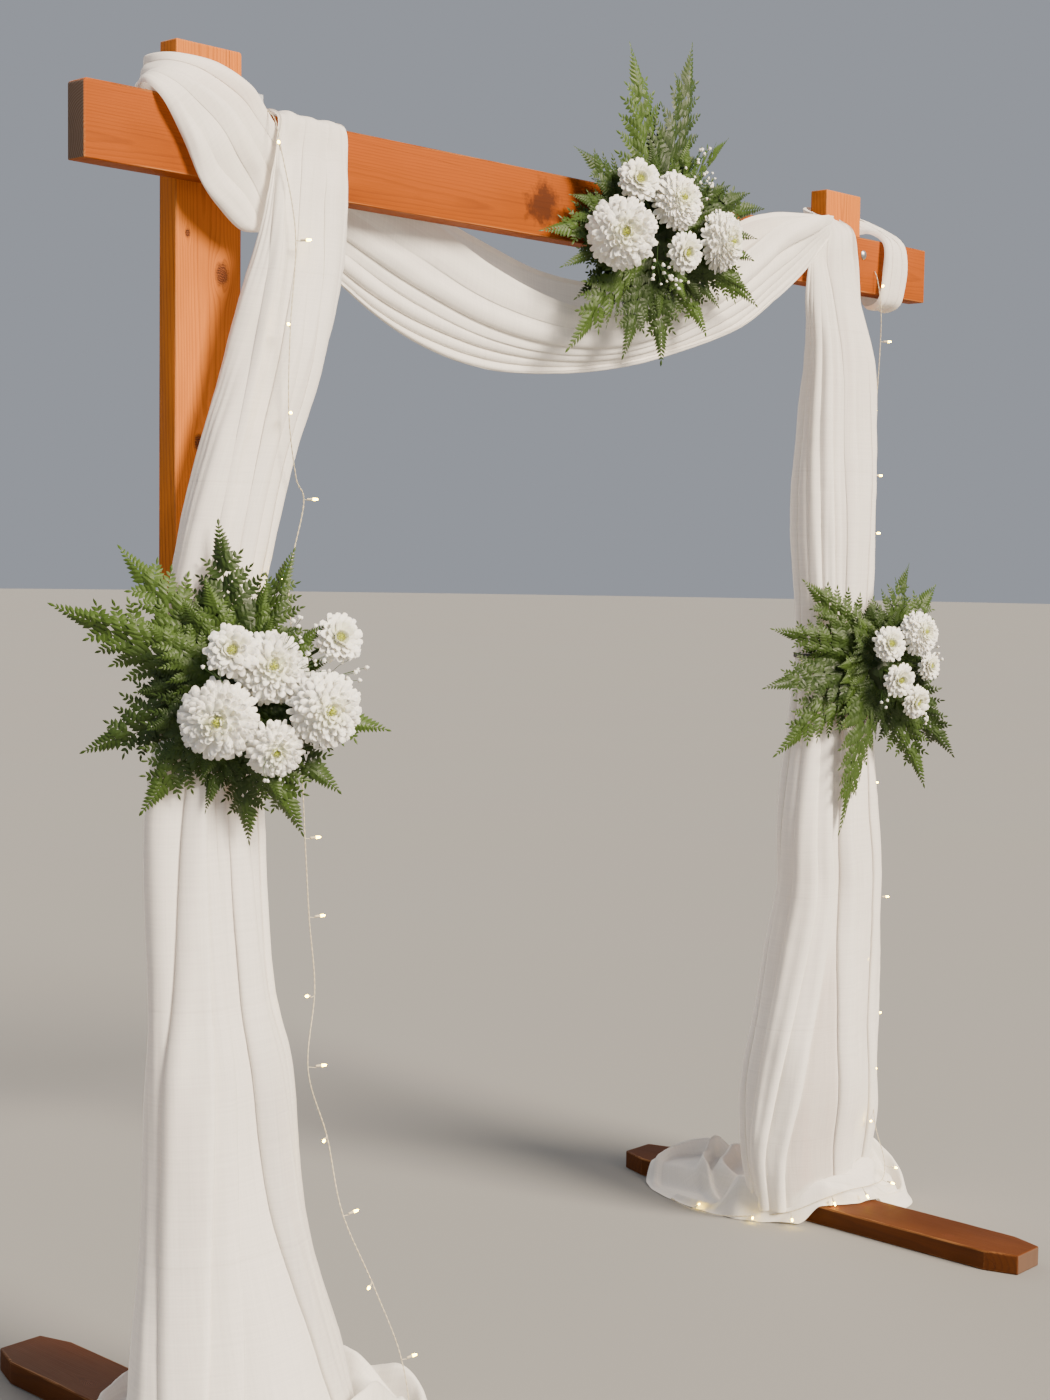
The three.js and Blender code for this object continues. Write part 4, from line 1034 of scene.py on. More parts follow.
class ARCH_OT_timber(bpy.types.Operator):
    """Makes the posts, the cross beam and the feet as planed boards with eased, worn edges"""
    bl_idname = "arch.timber"
    bl_label = "Posts, beam and feet"

    def execute(self, context):
        look = context.scene.arch_timber
        posts = (("left", "713508", 0.0052, (0.915, 0.052, 0.0)),
                 ("right", "743709", 0.0048, (-0.955, 0.060, 0.0)))
        for seed, (side, dark, spacing, pith) in enumerate(posts, 1):
            pine = planed_pine(f"oiled_pine_{side}_post", "Z", look.post_colour[:], linear(dark), spacing,
                               pith, KNOTS[side], 0.3)
            low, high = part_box(f"{side}_post")
            chips = [((high.x, low.y + 0.022, high.z), 0.006)] if side == "left" else []
            board(f"{side}_post", pine, "post_timber", "Z", look.edge, seed, chips)
        low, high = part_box("cross_beam")
        # The stain here is a painted shadow of the top spray's fronds on the beam's front.
        beam = planed_pine("stained_pine_beam", "X", look.beam_colour[:], linear("70340a"), 0.0046,
                           (0.0, 0.085, -2.235), KNOTS["beam"], 0.85, stain=((-0.155, -0.045, 2.250), 0.042))
        board("cross_beam", beam, "beam_timber", "X", look.edge, 3, [((low.x, -0.0225, high.z), 0.007)])
        feet = planed_pine("stained_pine_foot", "Y", look.foot_colour[:], linear("442410"), 0.0050,
                           (0.0, 0.0, 0.070), KNOTS["feet"], 0.45)
        for seed, side in enumerate(SIDES, 4):
            board(f"{side}_foot", feet, "foot_timber", "Y", look.edge * 1.3, seed)
        return {"FINISHED"}


def bolt(side, number, zinc):
    """A coach bolt: head and shank as one turned form along Y, and its nut."""
    low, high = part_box(f"{side}_bolt_{number}")
    bm = bmesh.new()
    stamp(bm, turned([(r, low.y + y) for r, y in BOLT_HEAD] + [(r, high.y + y) for r, y in BOLT_END], 24,
                     Vector((0, 1, 0))))
    nut = bmesh.new()
    bmesh.ops.create_cone(nut, cap_ends=True, segments=6, radius1=0.0094, radius2=0.0094, depth=0.0064)
    bevelled(nut, nut.edges[:], 0.0007)
    stamp(bm, nut, aimed((0.0, high.y - 0.0042, 0.0), (0, 1, 0)))
    bmesh.ops.recalc_face_normals(bm, faces=bm.faces)
    bmesh.ops.translate(bm, vec=((low.x + high.x) / 2, 0.0, (low.z + high.z) / 2), verts=bm.verts)
    piece(f"{side}_coach_bolt_{number}", bm, zinc, "zinc_steel", f"{side}_bolt_{number}", sharp=35)


class ARCH_OT_bolts(bpy.types.Operator):
    """Makes the four coach bolts with domed heads and hexagon nuts"""
    bl_idname = "arch.bolts"
    bl_label = "Bolts"

    def execute(self, context):
        zinc = zinc_plate("zinc_plated_steel")
        for side in SIDES:
            for number in (1, 2):
                bolt(side, number, zinc)
        return {"FINISHED"}


def swag():
    """The length of cloth that hangs under the beam."""
    @lru_cache(maxsize=None)
    def row(w):
        return between(SWAG, w)

    def base(u, w):
        x, y, half, front, bottom, back = row(w)
        turn = math.pi * u
        # The front layer's hem hangs a little below the back layer's, which shows above it.
        top = front - 0.045 * math.sin(math.pi * w) ** 2 if u < 0.5 else back
        return Vector((x, y - half * math.cos(turn), top + (bottom - top) * math.sin(turn)))

    def extra(u, w):
        here = base(u, w)
        slow = Vector((here.x * 0.3, here.y, here.z))
        depth = 0.0022 * waver(slow, 0.05, 2.0) + 0.0022 * waver(slow, 0.12, 6.0)
        return depth + 0.0009 * waver(here, 0.03, 8.0) - 0.001

    _, spread, moved = long_folds(FOLDS["swag"], base, 150)
    made = cloth("voile_swag", folded(base, moved, -1, extra), 150, 200, (0.56, 1.70),
                 lambda u, w: min(u, 1 - u) * 0.56, lambda u, w: 0.6 if u < 0.5 else 0.1, "swag",
                 spread=spread)


class ARCH_OT_swag(bpy.types.Operator):
    """Hangs the swag under the beam, with long folds that meet at its two ends"""
    bl_idname = "arch.swag"
    bl_label = "Swag"

    def execute(self, context):
        swag()
        return {"FINISHED"}


def hanging(rows, gathers, seed):
    """A hanging length of cloth, and the unevenness and narrow gathers between its long folds."""
    @lru_cache(maxsize=None)
    def row(w):
        return between(rows, w)

    def base(u, w):
        x, y, z, width, depth, _, _, first, last, tilt = row(w)
        angle = math.radians(last + (first - last) * u)
        lean = math.radians(tilt)
        out = depth * math.sin(angle)
        return Vector((x + width * math.cos(angle), y - out * math.cos(lean), z + out * math.sin(lean)))

    def extra(u, w):
        wide, narrow = row(w)[5:7]
        drift = 0.05 * math.sin(5.0 * w + seed) + 0.03 * math.sin(11.0 * w + 2 * seed)
        q = gathers * (u + 0.04 * math.sin(2 * math.pi * (2.3 * u - 0.2 * seed)) - 0.6 * drift)
        here = base(u, w)
        slow = Vector((here.x, here.y, here.z * 0.3))
        some = unit(0.5 + 1.3 * waver(slow, 0.11, seed + 9))
        depth = narrow * valley(q, 0.08) * some + 0.10 * wide * valley(0.5 * q + 0.3, 0.3)
        broad = Vector((0.45 * u, 0.80 * w, 0.0))
        depth += 0.012 * waver(broad, 0.085, seed) + 0.011 * waver(broad, 0.16, seed + 5)
        return depth + 0.0025 * waver(slow, 0.05, seed + 6) + 0.0008 * waver(here, 0.03, seed + 7) + 0.0005
    return base, extra


def tail(side, gathers, seed, size):
    """The length of the drape that hangs down a post."""
    base, extra = hanging(TAILS[side], gathers, seed)
    section, spread, moved = long_folds(FOLDS[f"{side}_tail"], base, 150)

    def layers(u, w):
        # A single layer shows between two folds on the right, and as a loose flap on the left.
        crease = section(w)[0]
        inside = min(u - crease[3], crease[4] - u) if side == "right" else u - crease[3]
        low = (w - 0.69) / 0.05 if side == "right" else (w - 0.76) / 0.08
        return 0.85 - 1.5 * unit(low) * unit(inside / 0.015)
    made = cloth(f"{side}_voile_tail", folded(base, moved, 1, extra), 150, 220, size,
                 lambda u, w: min(u, 1 - u) * 0.5, layers, f"{side}_tail", spread=spread)


class ARCH_OT_tails(bpy.types.Operator):
    """Hangs the two tails of the drape down the posts"""
    bl_idname = "arch.tails"
    bl_label = "Drape tails"

    def execute(self, context):
        tail("left", 13, 1.3, (0.42, 2.45))
        tail("right", 15, 4.1, (0.50, 2.40))
        return {"FINISHED"}


def wrap(side, seed, size):
    """The turn of the drape round a post and the beam."""
    def base(u, w):
        values = between(WRAPS[side], w)
        return Vector(values[:3]).lerp(Vector(values[3:]), u)

    _, spread, moved = long_folds(FOLDS[f"{side}_wrap"], base, 76)

    def surface(u, w):
        here = base(u, w)
        from_post = here - Vector((POST_X[side], 0.0225, here.z))
        from_beam = here - Vector((here.x, -0.0225, 2.2525))
        out = from_post.normalized() / from_post.length ** 3 + from_beam.normalized() / from_beam.length ** 3
        out.normalize()
        deep, aside = moved(u, w)
        rise = 0.012 - min(deep, 0.0115) + 0.003 * waver(here, 0.06, seed)
        edge = min(1.0, min(u, 1 - u) / 0.07) ** 0.5
        way = (base(1.0, w) - base(0.0, w)).normalized()
        folds = bpy.context.scene.arch_drape.folds
        return here + out * (rise * folds * edge - 0.001 * (1 - edge)) + way * (aside * edge)

    made = cloth(f"{side}_voile_wrap", surface, 76, 150, size, lambda u, w: min(u, 1 - u) * 0.2 + 0.003,
                 lambda u, w: 0.95, f"{side}_wrap", spread=spread)


class ARCH_OT_wraps(bpy.types.Operator):
    """Winds the drape round each post above the beam"""
    bl_idname = "arch.wraps"
    bl_label = "Wraps"

    def execute(self, context):
        wrap("left", 3.0, (0.17, 0.58))
        wrap("right", 6.0, (0.10, 0.60))
        return {"FINISHED"}


def fold_height(here, half, line):
    """The height at a place of a fold of that half width along a line of places and heights."""
    best, tall = 1e9, 0.0
    for (a, low), (b, high) in zip(line, line[1:]):
        way = b - a
        f = unit((here - a).dot(way) / way.length_squared)
        far = (here - a - way * f).length_squared
        if far < best:
            best, tall = far, low + (high - low) * f
    return tall * math.exp(-best / (half * half)) if best <= 9 * half * half else 0.0


def pool_folds(side, middle, rim_at, shift, lift):
    """The folds of a heap as half widths and lines, and the pile round the tail's lower end."""
    ridges = []
    for half, points in RIDGES:
        line = []
        for k in range(6 * len(points) - 5):
            turn, reach, height = between(points, k / (6 * len(points) - 6))
            line.append((middle + (rim_at(turn + shift) - middle) * reach, height * lift / 1000.0))
        ridges.append((half / 1000.0, line))
    hem = [hanging(TAILS[side], 1, shift)[0](k / 32, 1.0) for k in range(33)]
    centre = sum(hem, Vector()) / len(hem)
    ring = []
    for place in hem:
        out = place - centre
        spot = Vector((place.x, place.y, 0.0)) + Vector((out.x, out.y, 0.0)).normalized() * 0.022
        ring.append((spot, 0.086 + 0.014 * waver(place, 0.06, shift + 9)))
    return ridges, ring


def pool(side, shift, lift):
    """The end of the drape, heaped on the ground and over the foot. shift moves the folds round
    the heap, and lift is how much higher than on the right they stand."""
    middle = Vector((*POOL_MIDDLE[side], 0.0))

    def rim_at(u):
        return Vector((*between(POOLS[side], u, True), 0.0))

    ridges, ring = pool_folds(side, middle, rim_at, shift, lift)

    def surface(u, w):
        rim = rim_at(u)
        reach = max(w, 0.0001)
        here = middle + (rim - middle) * reach
        heights = [fold_height(here, half, line) for half, line in ridges]
        total = sum(height ** 4 for height in heights if height > 0)
        sunk = sum(height for height in heights if height < 0)
        foot = unit(1.0 - (abs(here.x - POST_X[side]) - 0.071) / 0.04)
        under = 0.0462 * foot * foot * (3 - 2 * foot) + 0.016 * (1 - reach * reach)
        taper = min(1.0, (1.0 - w) / 0.05)
        # The cloth piles up round the tail's lower end and hides it.
        piled = (fold_height(here, 0.045, ring) * taper) ** 4
        z = 0.0014 + (piled + under ** 4) ** 0.25 + total ** 0.25 * (0.4 + 0.6 * taper)
        z = max(z + sunk, 0.0014 + under)
        z += 0.0030 * waver(here, 0.05, shift + 2) * taper * min(1.0, z / 0.02)
        z += 0.0012 * waver(here, 0.018, shift + 3) * taper * min(1.0, z / 0.02)
        z += 0.005 * max(0.0, waver(here, 0.08, shift + 4)) * (1 - taper)
        away = (rim - middle).normalized() * (0.005 * waver(here, 0.04, shift + 6) * w)
        return Vector((here.x + away.x, here.y + away.y, max(z, 0.001)))

    made = cloth(f"{side}_pool_cloth", surface, 260, 84, (2.0, 0.35), lambda u, w: (1 - w) * 0.30,
                 lambda u, w: 0.75, f"{side}_pool", closed=True)


class ARCH_OT_pools(bpy.types.Operator):
    """Heaps the drape's ends on the ground and over the feet"""
    bl_idname = "arch.pools"
    bl_label = "Pools"

    def execute(self, context):
        pool("left", 0.04, 1.05)
        pool("right", 0.0, 1.0)
        return {"FINISHED"}


def hull(points):
    """The convex outline of flat points, anticlockwise."""
    points = sorted(set(points))
    rings = []
    for run in (points, points[::-1]):
        line = []
        for p in run:
            while len(line) > 1 and ((line[-1][0] - line[-2][0]) * (p[1] - line[-2][1])
                                     - (line[-1][1] - line[-2][1]) * (p[0] - line[-2][0])) <= 0:
                line.pop()
            line.append(p)
        rings.append(line[:-1])
    return rings[0] + rings[1]


def wind(name, cord, node, loop, normal, turns):
    """Turns of cord round a loop, each (aside, outwards) from it."""
    bm = bmesh.new()
    centre = sum(loop, Vector()) / len(loop)
    for shift, grow in turns:
        points = []
        for k, p in enumerate(loop):
            sway = shift + 0.0006 * math.sin(7.0 * k / len(loop) + shift * 900)
            points.append(p + (p - centre).normalized() * grow + normal * sway)
        sweep(bm, points, 0.0015, closed=True)
    piece(name, bm, cord, "tie_cord", node)


class ARCH_OT_ties(bpy.types.Operator):
    """Winds the black cords that hold the sprays"""
    bl_idname = "arch.ties"
    bl_label = "Ties"

    def execute(self, context):
        cord = moulded_pvc("black_waxed_cord", linear("17171a"), 0.5, 0.7)
        for side, post_x in POST_X.items():
            verts = context.scene.objects[f"{side}_voile_tail"].data.vertices
            near = [(round(v.co.x, 4), round(v.co.y, 4)) for v in verts if abs(v.co.z - TIE_HEIGHT) < 0.012]
            near += [(post_x + dx, y) for dx in (-0.0705, 0.0705) for y in (-0.0005, 0.0455)]
            ring = [Vector((*place, TIE_HEIGHT)) for place in hull(near)]
            loop = []
            for a, b in zip(ring, ring[1:] + ring[:1]):
                steps = max(1, round((b - a).length / 0.012))
                loop += [a + (b - a) * (j / steps) for j in range(steps)]
            wind(f"{side}_cord_tie", cord, f"{side}_tie", loop, UP,
                 [(-0.0035, 0.002), (0.0, 0.0022), (0.0035, 0.002)])
        low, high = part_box("top_tie")
        inset = 0.0017
        y, z = ((low[k] + inset, high[k] - inset) for k in (1, 2))
        corners = [Vector(((low.x + high.x) / 2, y[j], z[k])) for j, k in ((0, 0), (1, 0), (1, 1), (0, 1))]
        loop = [a + (b - a) * ((j + 0.5) / 10) for a, b in zip(corners, corners[1:] + corners[:1])
                for j in range(10)]
        wind("top_cord_tie", cord, "top_tie", loop, Vector((1, 0, 0)),
             [(-0.0033, 0.0), (0.0, 0.0), (0.0033, 0.0)])
        return {"FINISHED"}


def turn_about(axis, angle):
    """A turn about X, Y or Z."""
    return Matrix.Rotation(angle, 4, axis)


def forward(distance):
    """A move along Y."""
    return Matrix.Translation((0, distance, 0))


def leaflet_mesh():
    """A cupped oval leaflet of length 1 along Y."""
    leaf = bmesh.new()
    bmesh.ops.create_circle(leaf, segments=7, radius=1.0)
    for v, place in zip(leaf.verts, LEAFLET):
        v.co = Vector((*place, 0.0))
    rim = leaf.edges[:]
    leaf.faces.new(leaf.verts)
    middle = leaf.verts.new((0.0, 0.42, 0.08))
    for e in rim:
        leaf.faces.new((*e.verts, middle))
    bmesh.ops.recalc_face_normals(leaf, faces=leaf.faces)
    return mesh_of(leaf)


def rib_mesh():
    """A thin tapering rib of length 1 along Y."""
    rib = bmesh.new()
    bmesh.ops.create_cone(rib, cap_ends=True, segments=3, radius1=0.0038, radius2=0.0012, depth=1.0)
    bmesh.ops.transform(rib, matrix=forward(0.5) @ turn_about("X", -math.pi / 2), verts=rib.verts)
    return mesh_of(rib)


def frond(seed):
    """A flat frond of length 1 along Y, twice pinnate: stalk, side ribs and oval leaflets."""
    chance = random.Random(seed)
    leaflet, stick = leaflet_mesh(), rib_mesh()
    bm = bmesh.new()

    def blade(spot, size, broad):
        stamp(bm, leaflet, spot @ Matrix.Diagonal((size * broad, size, size, 1.0)))

    def side_rib(f, way):
        at = 0.10 + 0.68 * f + (0.03 if way > 0 else 0.0)
        length = (0.36 * (1 - f) ** 0.75 + 0.05) * chance.uniform(0.9, 1.08)
        turn = math.radians(62 - 16 * f + chance.uniform(-5, 5)) * -way
        pinna = forward(at) @ turn_about("Z", turn) @ turn_about("Y", chance.uniform(-0.2, 0.2))
        stamp(bm, stick, pinna @ Matrix.Diagonal((0.7, length * 0.95, 0.7, 1.0)))
        steps = max(4, round(length / 0.033))
        for g in (j / steps for j in range(steps)):
            size = 0.012 + (0.062 + 0.020 * (1 - f)) * (1 - g) ** 0.6 * chance.uniform(0.9, 1.1)
            for hand in (-1, 1):
                lean = math.radians(58 - 12 * g + chance.uniform(-6, 6)) * -hand
                blade(pinna @ forward(length * (0.05 + 0.90 * g)) @ turn_about("Z", lean)
                      @ turn_about("Y", chance.uniform(-0.2, 0.2)), size, 0.50)
        blade(pinna @ forward(length * 0.92), 0.045, 0.36)

    stamp(bm, stick, Matrix.Diagonal((2.0, 0.97, 1.4, 1.0)))
    for k in range(6):
        for way in (-1, 1):
            side_rib(k / 6, way)
    # Towards its tip the frond is only once pinnate.
    for f in (k / 8 for k in range(8)):
        for way in (-1, 1):
            lean = math.radians(56 - 14 * f + chance.uniform(-5, 5)) * -way
            blade(forward(0.75 + 0.22 * f) @ turn_about("Z", lean), 0.014 + 0.070 * (1 - f) ** 0.8, 0.42)
    blade(forward(0.965), 0.045, 0.36)
    for mesh in (leaflet, stick):
        bpy.data.meshes.remove(mesh)
    return mesh_of(bm)


def grow(bm, layers, pattern, start, end, face, width, shade, chance):
    """Bends a copy of a frond from its root to its tip, drooping away from its face."""
    length = (end - start).length
    front = (face + Vector([chance.uniform(-0.35, 0.35) for _ in range(3)])).normalized()
    middle = start.lerp(end, 0.5) + face * (0.07 * length) + UP * (0.05 * length)
    twist = chance.uniform(-0.35, 0.35)
    broad = width / 0.60
    for v in stamp(bm, pattern):
        x, y, z = v.co
        at = min(y, 1.02)
        point = start * (1 - at) ** 2 + middle * (2 * at * (1 - at)) + end * at ** 2
        ahead = ((middle - start) * (1 - at) + (end - middle) * at).normalized()
        side = ahead.cross(front).normalized()
        up = side.cross(ahead)
        across = side * math.cos(twist * at) + up * math.sin(twist * at)
        lift = up * math.cos(twist * at) - side * math.sin(twist * at)
        bow = -0.4 * abs(x) ** 1.6 + 0.010 * math.sin(40 * x + 9 * at)
        v.co = point + across * (x * broad) + lift * ((z + bow) * broad)
        v[layers[0]], v[layers[1]] = shade, unit(y)


def mark(verts, layers, *values):
    """Gives vertices one value in each of two attributes."""
    for v in verts:
        v[layers[0]], v[layers[1]] = values


def fern_bed(side, patterns, leaf, full):
    """The fern of a spray: long fronds to the given tips, short ones all round, and the stems."""
    spray = SPRAYS[side]
    chance = random.Random(spray["seeds"][0])
    middle, face = Vector(spray["middle"]), Vector(spray["face"]).normalized()
    wide, deep, tall = spray["bed"]
    bm = bmesh.new()
    layers = float_layers(bm, "shade", "reach")
    tips = [(Vector(tip), full * chance.uniform(0.85, 1.1)) for tip in spray["tips"]]
    across = UP.cross(face)
    for k in range(spray["short"]):
        turn = 2 * math.pi * (k + chance.uniform(-0.3, 0.3)) / spray["short"]
        reach = chance.uniform(1.35, 2.0)
        tip = middle + across * (math.cos(turn) * wide * reach) + UP * (math.sin(turn) * tall * reach)
        tips.append((tip + face * chance.uniform(0.0, 0.05), full * chance.uniform(0.65, 0.85)))
    for k, (tip, width) in enumerate(tips):
        root = middle + face * chance.uniform(0.0, 0.02) + (tip - middle) * 0.02
        grow(bm, layers, patterns[k % 3], root, tip, face, width, chance.uniform(0.0, 0.55), chance)
    # The bound stems and leaf bases in the middle, as a rough dark tuft.
    tuft = ball(1.0)
    for v in tuft.verts:
        v.co *= 0.86 + 0.22 * waver(v.co, 0.35, chance.random() * 0.01 + 4.0)
    place = aimed(middle, face) @ Matrix.Diagonal((wide * 0.72, tall * 0.72, deep * 0.8, 1.0))
    mark(stamp(bm, tuft, place), layers, 0.0, 0.0)
    for *place, radius in spray["blooms"]:
        way = Vector(place) - middle
        stem = (middle, middle + way * 0.5 + face * 0.01, middle + way - face * 0.35 * radius)
        mark(sweep(bm, stem, 0.0032), layers, 0.35, 0.2)
    piece(f"{side}_fern_fronds", bm, leaf, "fern", f"{side}_fern_bed", smooth=False)


class ARCH_OT_ferns(bpy.types.Operator):
    """Grows the leatherleaf fern fronds of the three sprays"""
    bl_idname = "arch.ferns"
    bl_label = "Fern fronds"

    def execute(self, context):
        look = context.scene.arch_sprays
        patterns = [frond(seed) for seed in (3, 8, 15)]
        leaf = waxy_leaf("leatherleaf_fern", look.leaf_colour[:], linear("455d1e"))
        for side in SPRAYS:
            fern_bed(side, patterns, leaf, look.frond_width)
        for mesh in patterns:
            bpy.data.meshes.remove(mesh)
        return {"FINISHED"}


def petal(length, width, curl, cup):
    """A channelled strap petal from the origin along Y, bending towards Z by curl radians."""
    bm = bmesh.new()
    bmesh.ops.create_grid(bm, x_segments=2, y_segments=4, size=0.5)
    reach, = float_layers(bm, "reach")
    for v in bm.verts:
        t, s = v.co.x * 2, v.co.y + 0.5
        half = width / 2 * (0.35 + 0.65 * math.sin(math.pi * (0.08 + 0.58 * s))) * (1.0 if s < 0.95 else 0.60)
        bend = curl * s * s
        y = length * s * (1 - 0.16 * bend * bend) + (0.05 * length if t == 0 and s > 0.95 else 0.0)
        v[reach] = s
        v.co = Vector((t * half, y, length * s * 0.36 * bend + cup * half * t * t))
    return bm


def dome_point(lean, turn, size):
    """A direction that leans from Z at a turn, and where it meets a bloom's flattened dome."""
    out = radial(turn) * math.sin(lean) + UP * math.cos(lean)
    return out, Vector((out.x, out.y, out.z * BLOOM_HEIGHT)) * size


def petal_leans(small, petals):
    """How far each petal leans from Z, its share of a turn and its reach, from the top outwards."""
    if small:
        # An open bloom: a few rows of broad petals round a plain heart.
        return [(lean, k / many, reach) for lean, many, reach in OPEN_ROWS for k in range(many)]
    first, last = math.cos(math.radians(9)), math.cos(math.radians(112))
    return [(math.acos(first + (last - first) * (k + 0.5) / petals), k * 0.381966, 1.0)
            for k in range(petals)]


def add_petals(bm, layers, radius, small, petals, chance):
    """A bloom's petals, which lie outwards over its dome with their tips raised."""
    leans = petal_leans(small, petals)
    for k, (lean, share, reach) in enumerate(leans):
        f = (k + 0.5) / len(leans)
        lean += chance.uniform(-0.07, 0.07)
        turn = 2 * math.pi * (share + 0.13 * lean) + chance.uniform(-0.12, 0.12)
        reach *= chance.uniform(0.90, 1.04) + (0.06 if f > 0.8 else 0.0)
        out, tip = dome_point(lean, turn, radius * reach)
        if small:
            root = radial(turn) * (0.12 * radius) + UP * ((0.14 - 0.12 * f) * radius)
        else:
            _, root = dome_point(lean - 0.46 * min(1.0, lean / 0.5), turn, radius * 0.66)
        length, way = (tip - root).length, (tip - root).normalized()
        up = (out - way * out.dot(way)).normalized()
        side = way.cross(up)
        curl = (0.55 if small else 1.3 - 0.6 * f) * chance.uniform(0.5, 1.3)
        width = radius * (0.33 if small else 0.175) * chance.uniform(0.85, 1.15)
        drop = Matrix.Rotation(-0.30 * curl, 3, side)
        place = aligned(root, side, drop @ way, drop @ up)
        for v in stamp(bm, petal(length * 1.06, width, curl, 0.4), place):
            v[layers[1]] = max(0.0, 0.5 - f * (1.6 if small else 2.6))


def add_heart(bm, layers, radius, small):
    """A bloom's dome of younger petals underneath, and the green florets of its heart."""
    dome = ball((0.30 if small else 0.74) * radius)
    for v in dome.verts:
        v.co *= 1.0 + 0.10 * waver(v.co, 0.10 * radius, 3.0)
    bmesh.ops.scale(dome, vec=(1.0, 1.0, BLOOM_HEIGHT), verts=dome.verts)
    for v in stamp(bm, dome):
        v[layers[0]], v[layers[1]] = 0.3, 0.9 if v.co.z < -0.2 * radius else 0.0
    heart, count, rise = (0.17, 34, 0.24) if small else (0.15, 24, 0.44)
    for k in range(count):
        f = (k + 0.5) / count
        outwards = radial(k * 2.399963)
        root = outwards * (heart * math.sqrt(f) * radius) + UP * ((rise - 0.1 * f) * radius)
        way = (UP + outwards * (0.8 * f)).normalized()
        side = way.cross(outwards).normalized()
        floret = petal(radius * 0.16, radius * 0.06, -0.9, 0.7)
        mark(stamp(bm, floret, aligned(root, side, way, side.cross(way))), layers, 0.0, 1.0 - 0.3 * f)


def bloom(radius, petals, chance):
    """A bloom that faces +Z round the origin. A small one is open, with broader petals."""
    bm = bmesh.new()
    layers = float_layers(bm, "reach", "young")
    small = radius < 0.045
    add_petals(bm, layers, radius, small, petals, chance)
    add_heart(bm, layers, radius, small)
    return bm


class ARCH_OT_blooms(bpy.types.Operator):
    """Makes the white chrysanthemums, petal by petal"""
    bl_idname = "arch.blooms"
    bl_label = "Blooms"

    def execute(self, context):
        look = context.scene.arch_sprays
        white = fresh_petal("chrysanthemum_petal", look.petal_colour[:], look.heart_colour[:])
        for side, spray in SPRAYS.items():
            face = Vector(spray["face"]).normalized()
            for k, (*place, radius) in enumerate(spray["blooms"]):
                petals = look.petals if radius > 0.05 else int(look.petals * 0.85)
                bm = bloom(radius * 1.02, petals, random.Random(f"{side}{k}"))
                out = Vector(place) - Vector(spray["middle"])
                out -= face * out.dot(face)
                bmesh.ops.transform(bm, matrix=aimed(place, face + out * 3.0), verts=bm.verts)
                made = piece(f"{side}_chrysanthemum_{k + 1}", bm, white, "petals", f"{side}_bloom_{k + 1}")
                shell = made.modifiers.new("petal thickness", "SOLIDIFY")
                shell.thickness, shell.offset = 0.0005, 0.0
        return {"FINISHED"}


def filler(side, bud, white, leaf):
    """The small white flowers of a spray: buds on fine stems that fork below each head."""
    spray = SPRAYS[side]
    chance = random.Random(spray["seeds"][1])
    middle, face = Vector(spray["middle"]), Vector(spray["face"]).normalized()
    bm, stems = bmesh.new(), bmesh.new()
    layers = float_layers(bm, "reach", "young")
    float_layers(stems, "shade", "reach")
    for *place, count in spray["filler"]:
        head = Vector(place)
        fork = middle.lerp(head, 0.72)
        sweep(stems, (middle, middle.lerp(fork, 0.5) + face * 0.01, fork), 0.0008, sides=0)
        for _ in range(count):
            spread = 0.010 + 0.0022 * count
            away = Vector([chance.gauss(0, 1) for _ in range(3)]).normalized()
            away *= spread * chance.uniform(0.3, 1.2)
            spot = head + away - face * min(0.0, away.dot(face))
            sweep(stems, (fork, fork.lerp(spot, 0.55) + away * 0.15, spot), 0.0004, sides=0)
            size = chance.uniform(0.0026, 0.0046)
            turn = Matrix.Rotation(chance.uniform(0, 6.28), 4, Vector((chance.random(), chance.random(), 1)))
            mark(stamp(bm, bud, Matrix.Translation(spot) @ turn @ Matrix.Scale(size, 4)), layers, 1.0, 0.0)
    piece(f"{side}_gypsophila_buds", bm, white, "petals")
    piece(f"{side}_gypsophila_stems", stems, leaf, "fern")


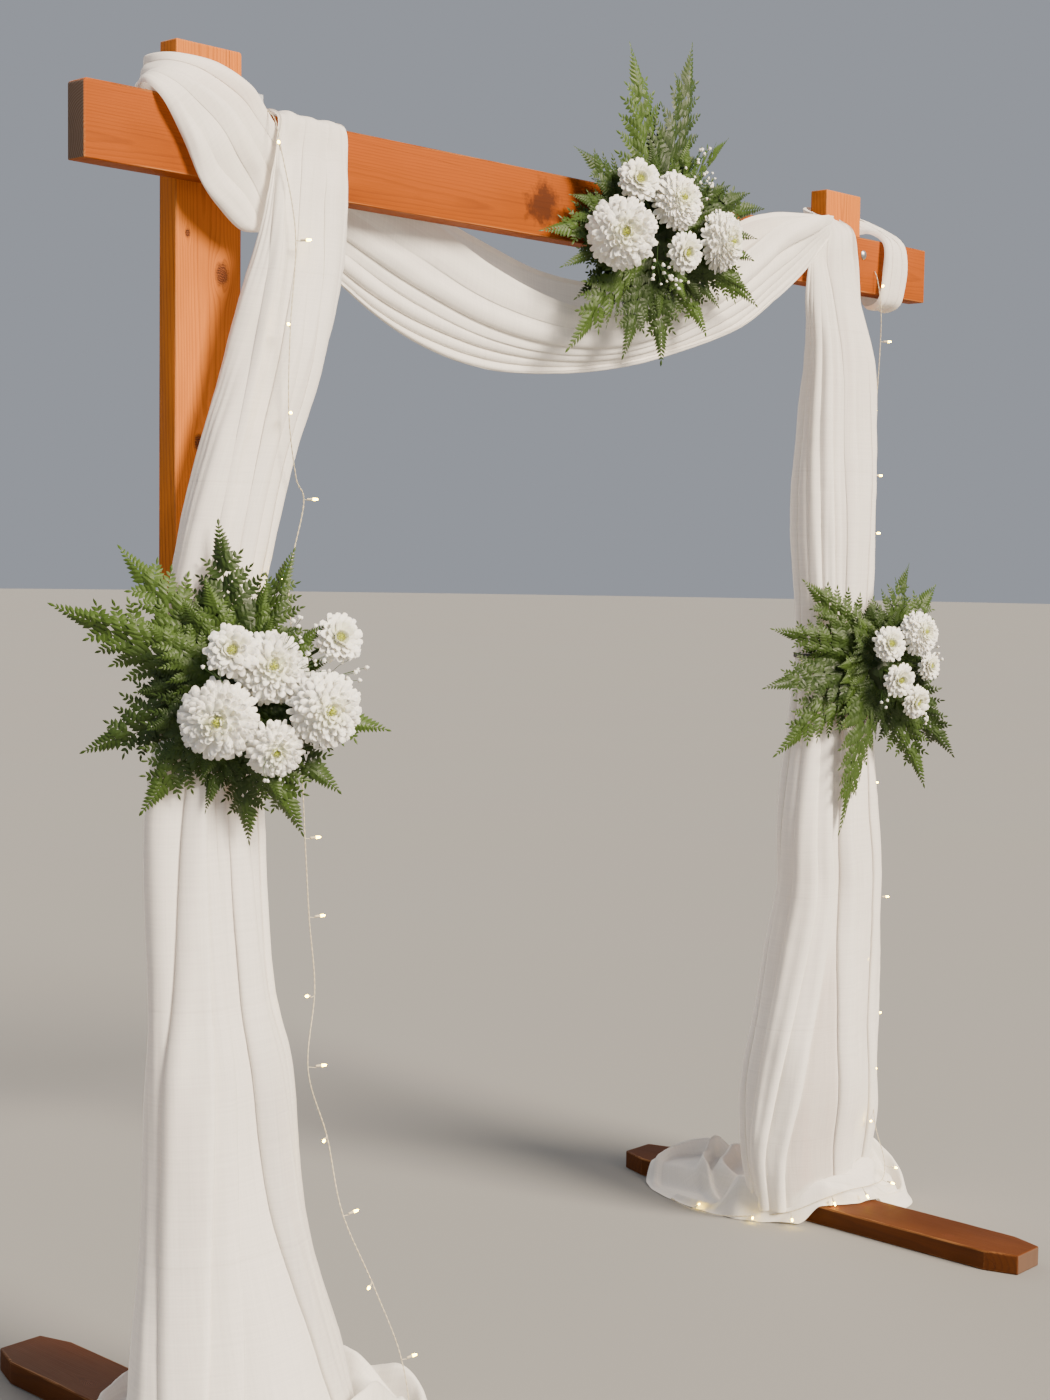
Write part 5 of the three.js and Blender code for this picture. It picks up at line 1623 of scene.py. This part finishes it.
class ARCH_OT_filler(bpy.types.Operator):
    """Adds the small white filler flowers on fine stems"""
    bl_idname = "arch.filler"
    bl_label = "Filler flowers"

    def execute(self, context):
        bm = ball(1.0, 1)
        for k, v in enumerate(bm.verts):
            v.co *= 1.0 + (0.18 if k % 2 else -0.12)
        bud = mesh_of(bm)
        white = fresh_petal("gypsophila_petal", linear("f7f6ee"), linear("a9b85a"))
        leaf = waxy_leaf("gypsophila_stem", linear("3e5a2c"), linear("7f9a5a"))
        for side in SPRAYS:
            filler(side, bud, white, leaf)
        bpy.data.meshes.remove(bud)
        return {"FINISHED"}


class ARCH_PT_panel(bpy.types.Panel):
    """Lists the arch's settings and the operators that build it"""
    bl_idname = "ARCH_PT_panel"
    bl_label = "Ceremony arch"
    bl_space_type = "VIEW_3D"
    bl_region_type = "UI"
    bl_category = "Arch"

    def draw(self, context):
        for group, name in GROUPS.items():
            box = self.layout.box()
            box.label(text=group.__doc__)
            for key in group.__annotations__:
                box.prop(getattr(context.scene, name), key)
        for operator in OPERATORS:
            self.layout.operator(operator.bl_idname)


GROUPS = {ArchTimber: "arch_timber", ArchDrape: "arch_drape", ArchSprays: "arch_sprays",
          ArchLights: "arch_lights", ArchStage: "arch_stage"}
OPERATORS = [ARCH_OT_stage, ARCH_OT_light_strings, ARCH_OT_timber, ARCH_OT_bolts, ARCH_OT_swag,
             ARCH_OT_tails, ARCH_OT_wraps, ARCH_OT_pools, ARCH_OT_ties, ARCH_OT_ferns, ARCH_OT_blooms,
             ARCH_OT_filler]


def register():
    for group, name in GROUPS.items():
        bpy.utils.register_class(group)
        setattr(bpy.types.Scene, name, PointerProperty(type=group))
    for operator in OPERATORS:
        bpy.utils.register_class(operator)
    bpy.utils.register_class(ARCH_PT_panel)


def unregister():
    bpy.utils.unregister_class(ARCH_PT_panel)
    for operator in reversed(OPERATORS):
        bpy.utils.unregister_class(operator)
    for group, name in GROUPS.items():
        delattr(bpy.types.Scene, name)
        bpy.utils.unregister_class(group)


def main():
    register()
    bpy.ops.arch.stage()
    bpy.ops.arch.light_strings()
    bpy.ops.arch.timber()
    bpy.ops.arch.bolts()
    bpy.ops.arch.swag()
    bpy.ops.arch.tails()
    bpy.ops.arch.wraps()
    bpy.ops.arch.pools()
    bpy.ops.arch.ties()
    bpy.ops.arch.ferns()
    bpy.ops.arch.blooms()
    bpy.ops.arch.filler()


if __name__ == "__main__":
    main()
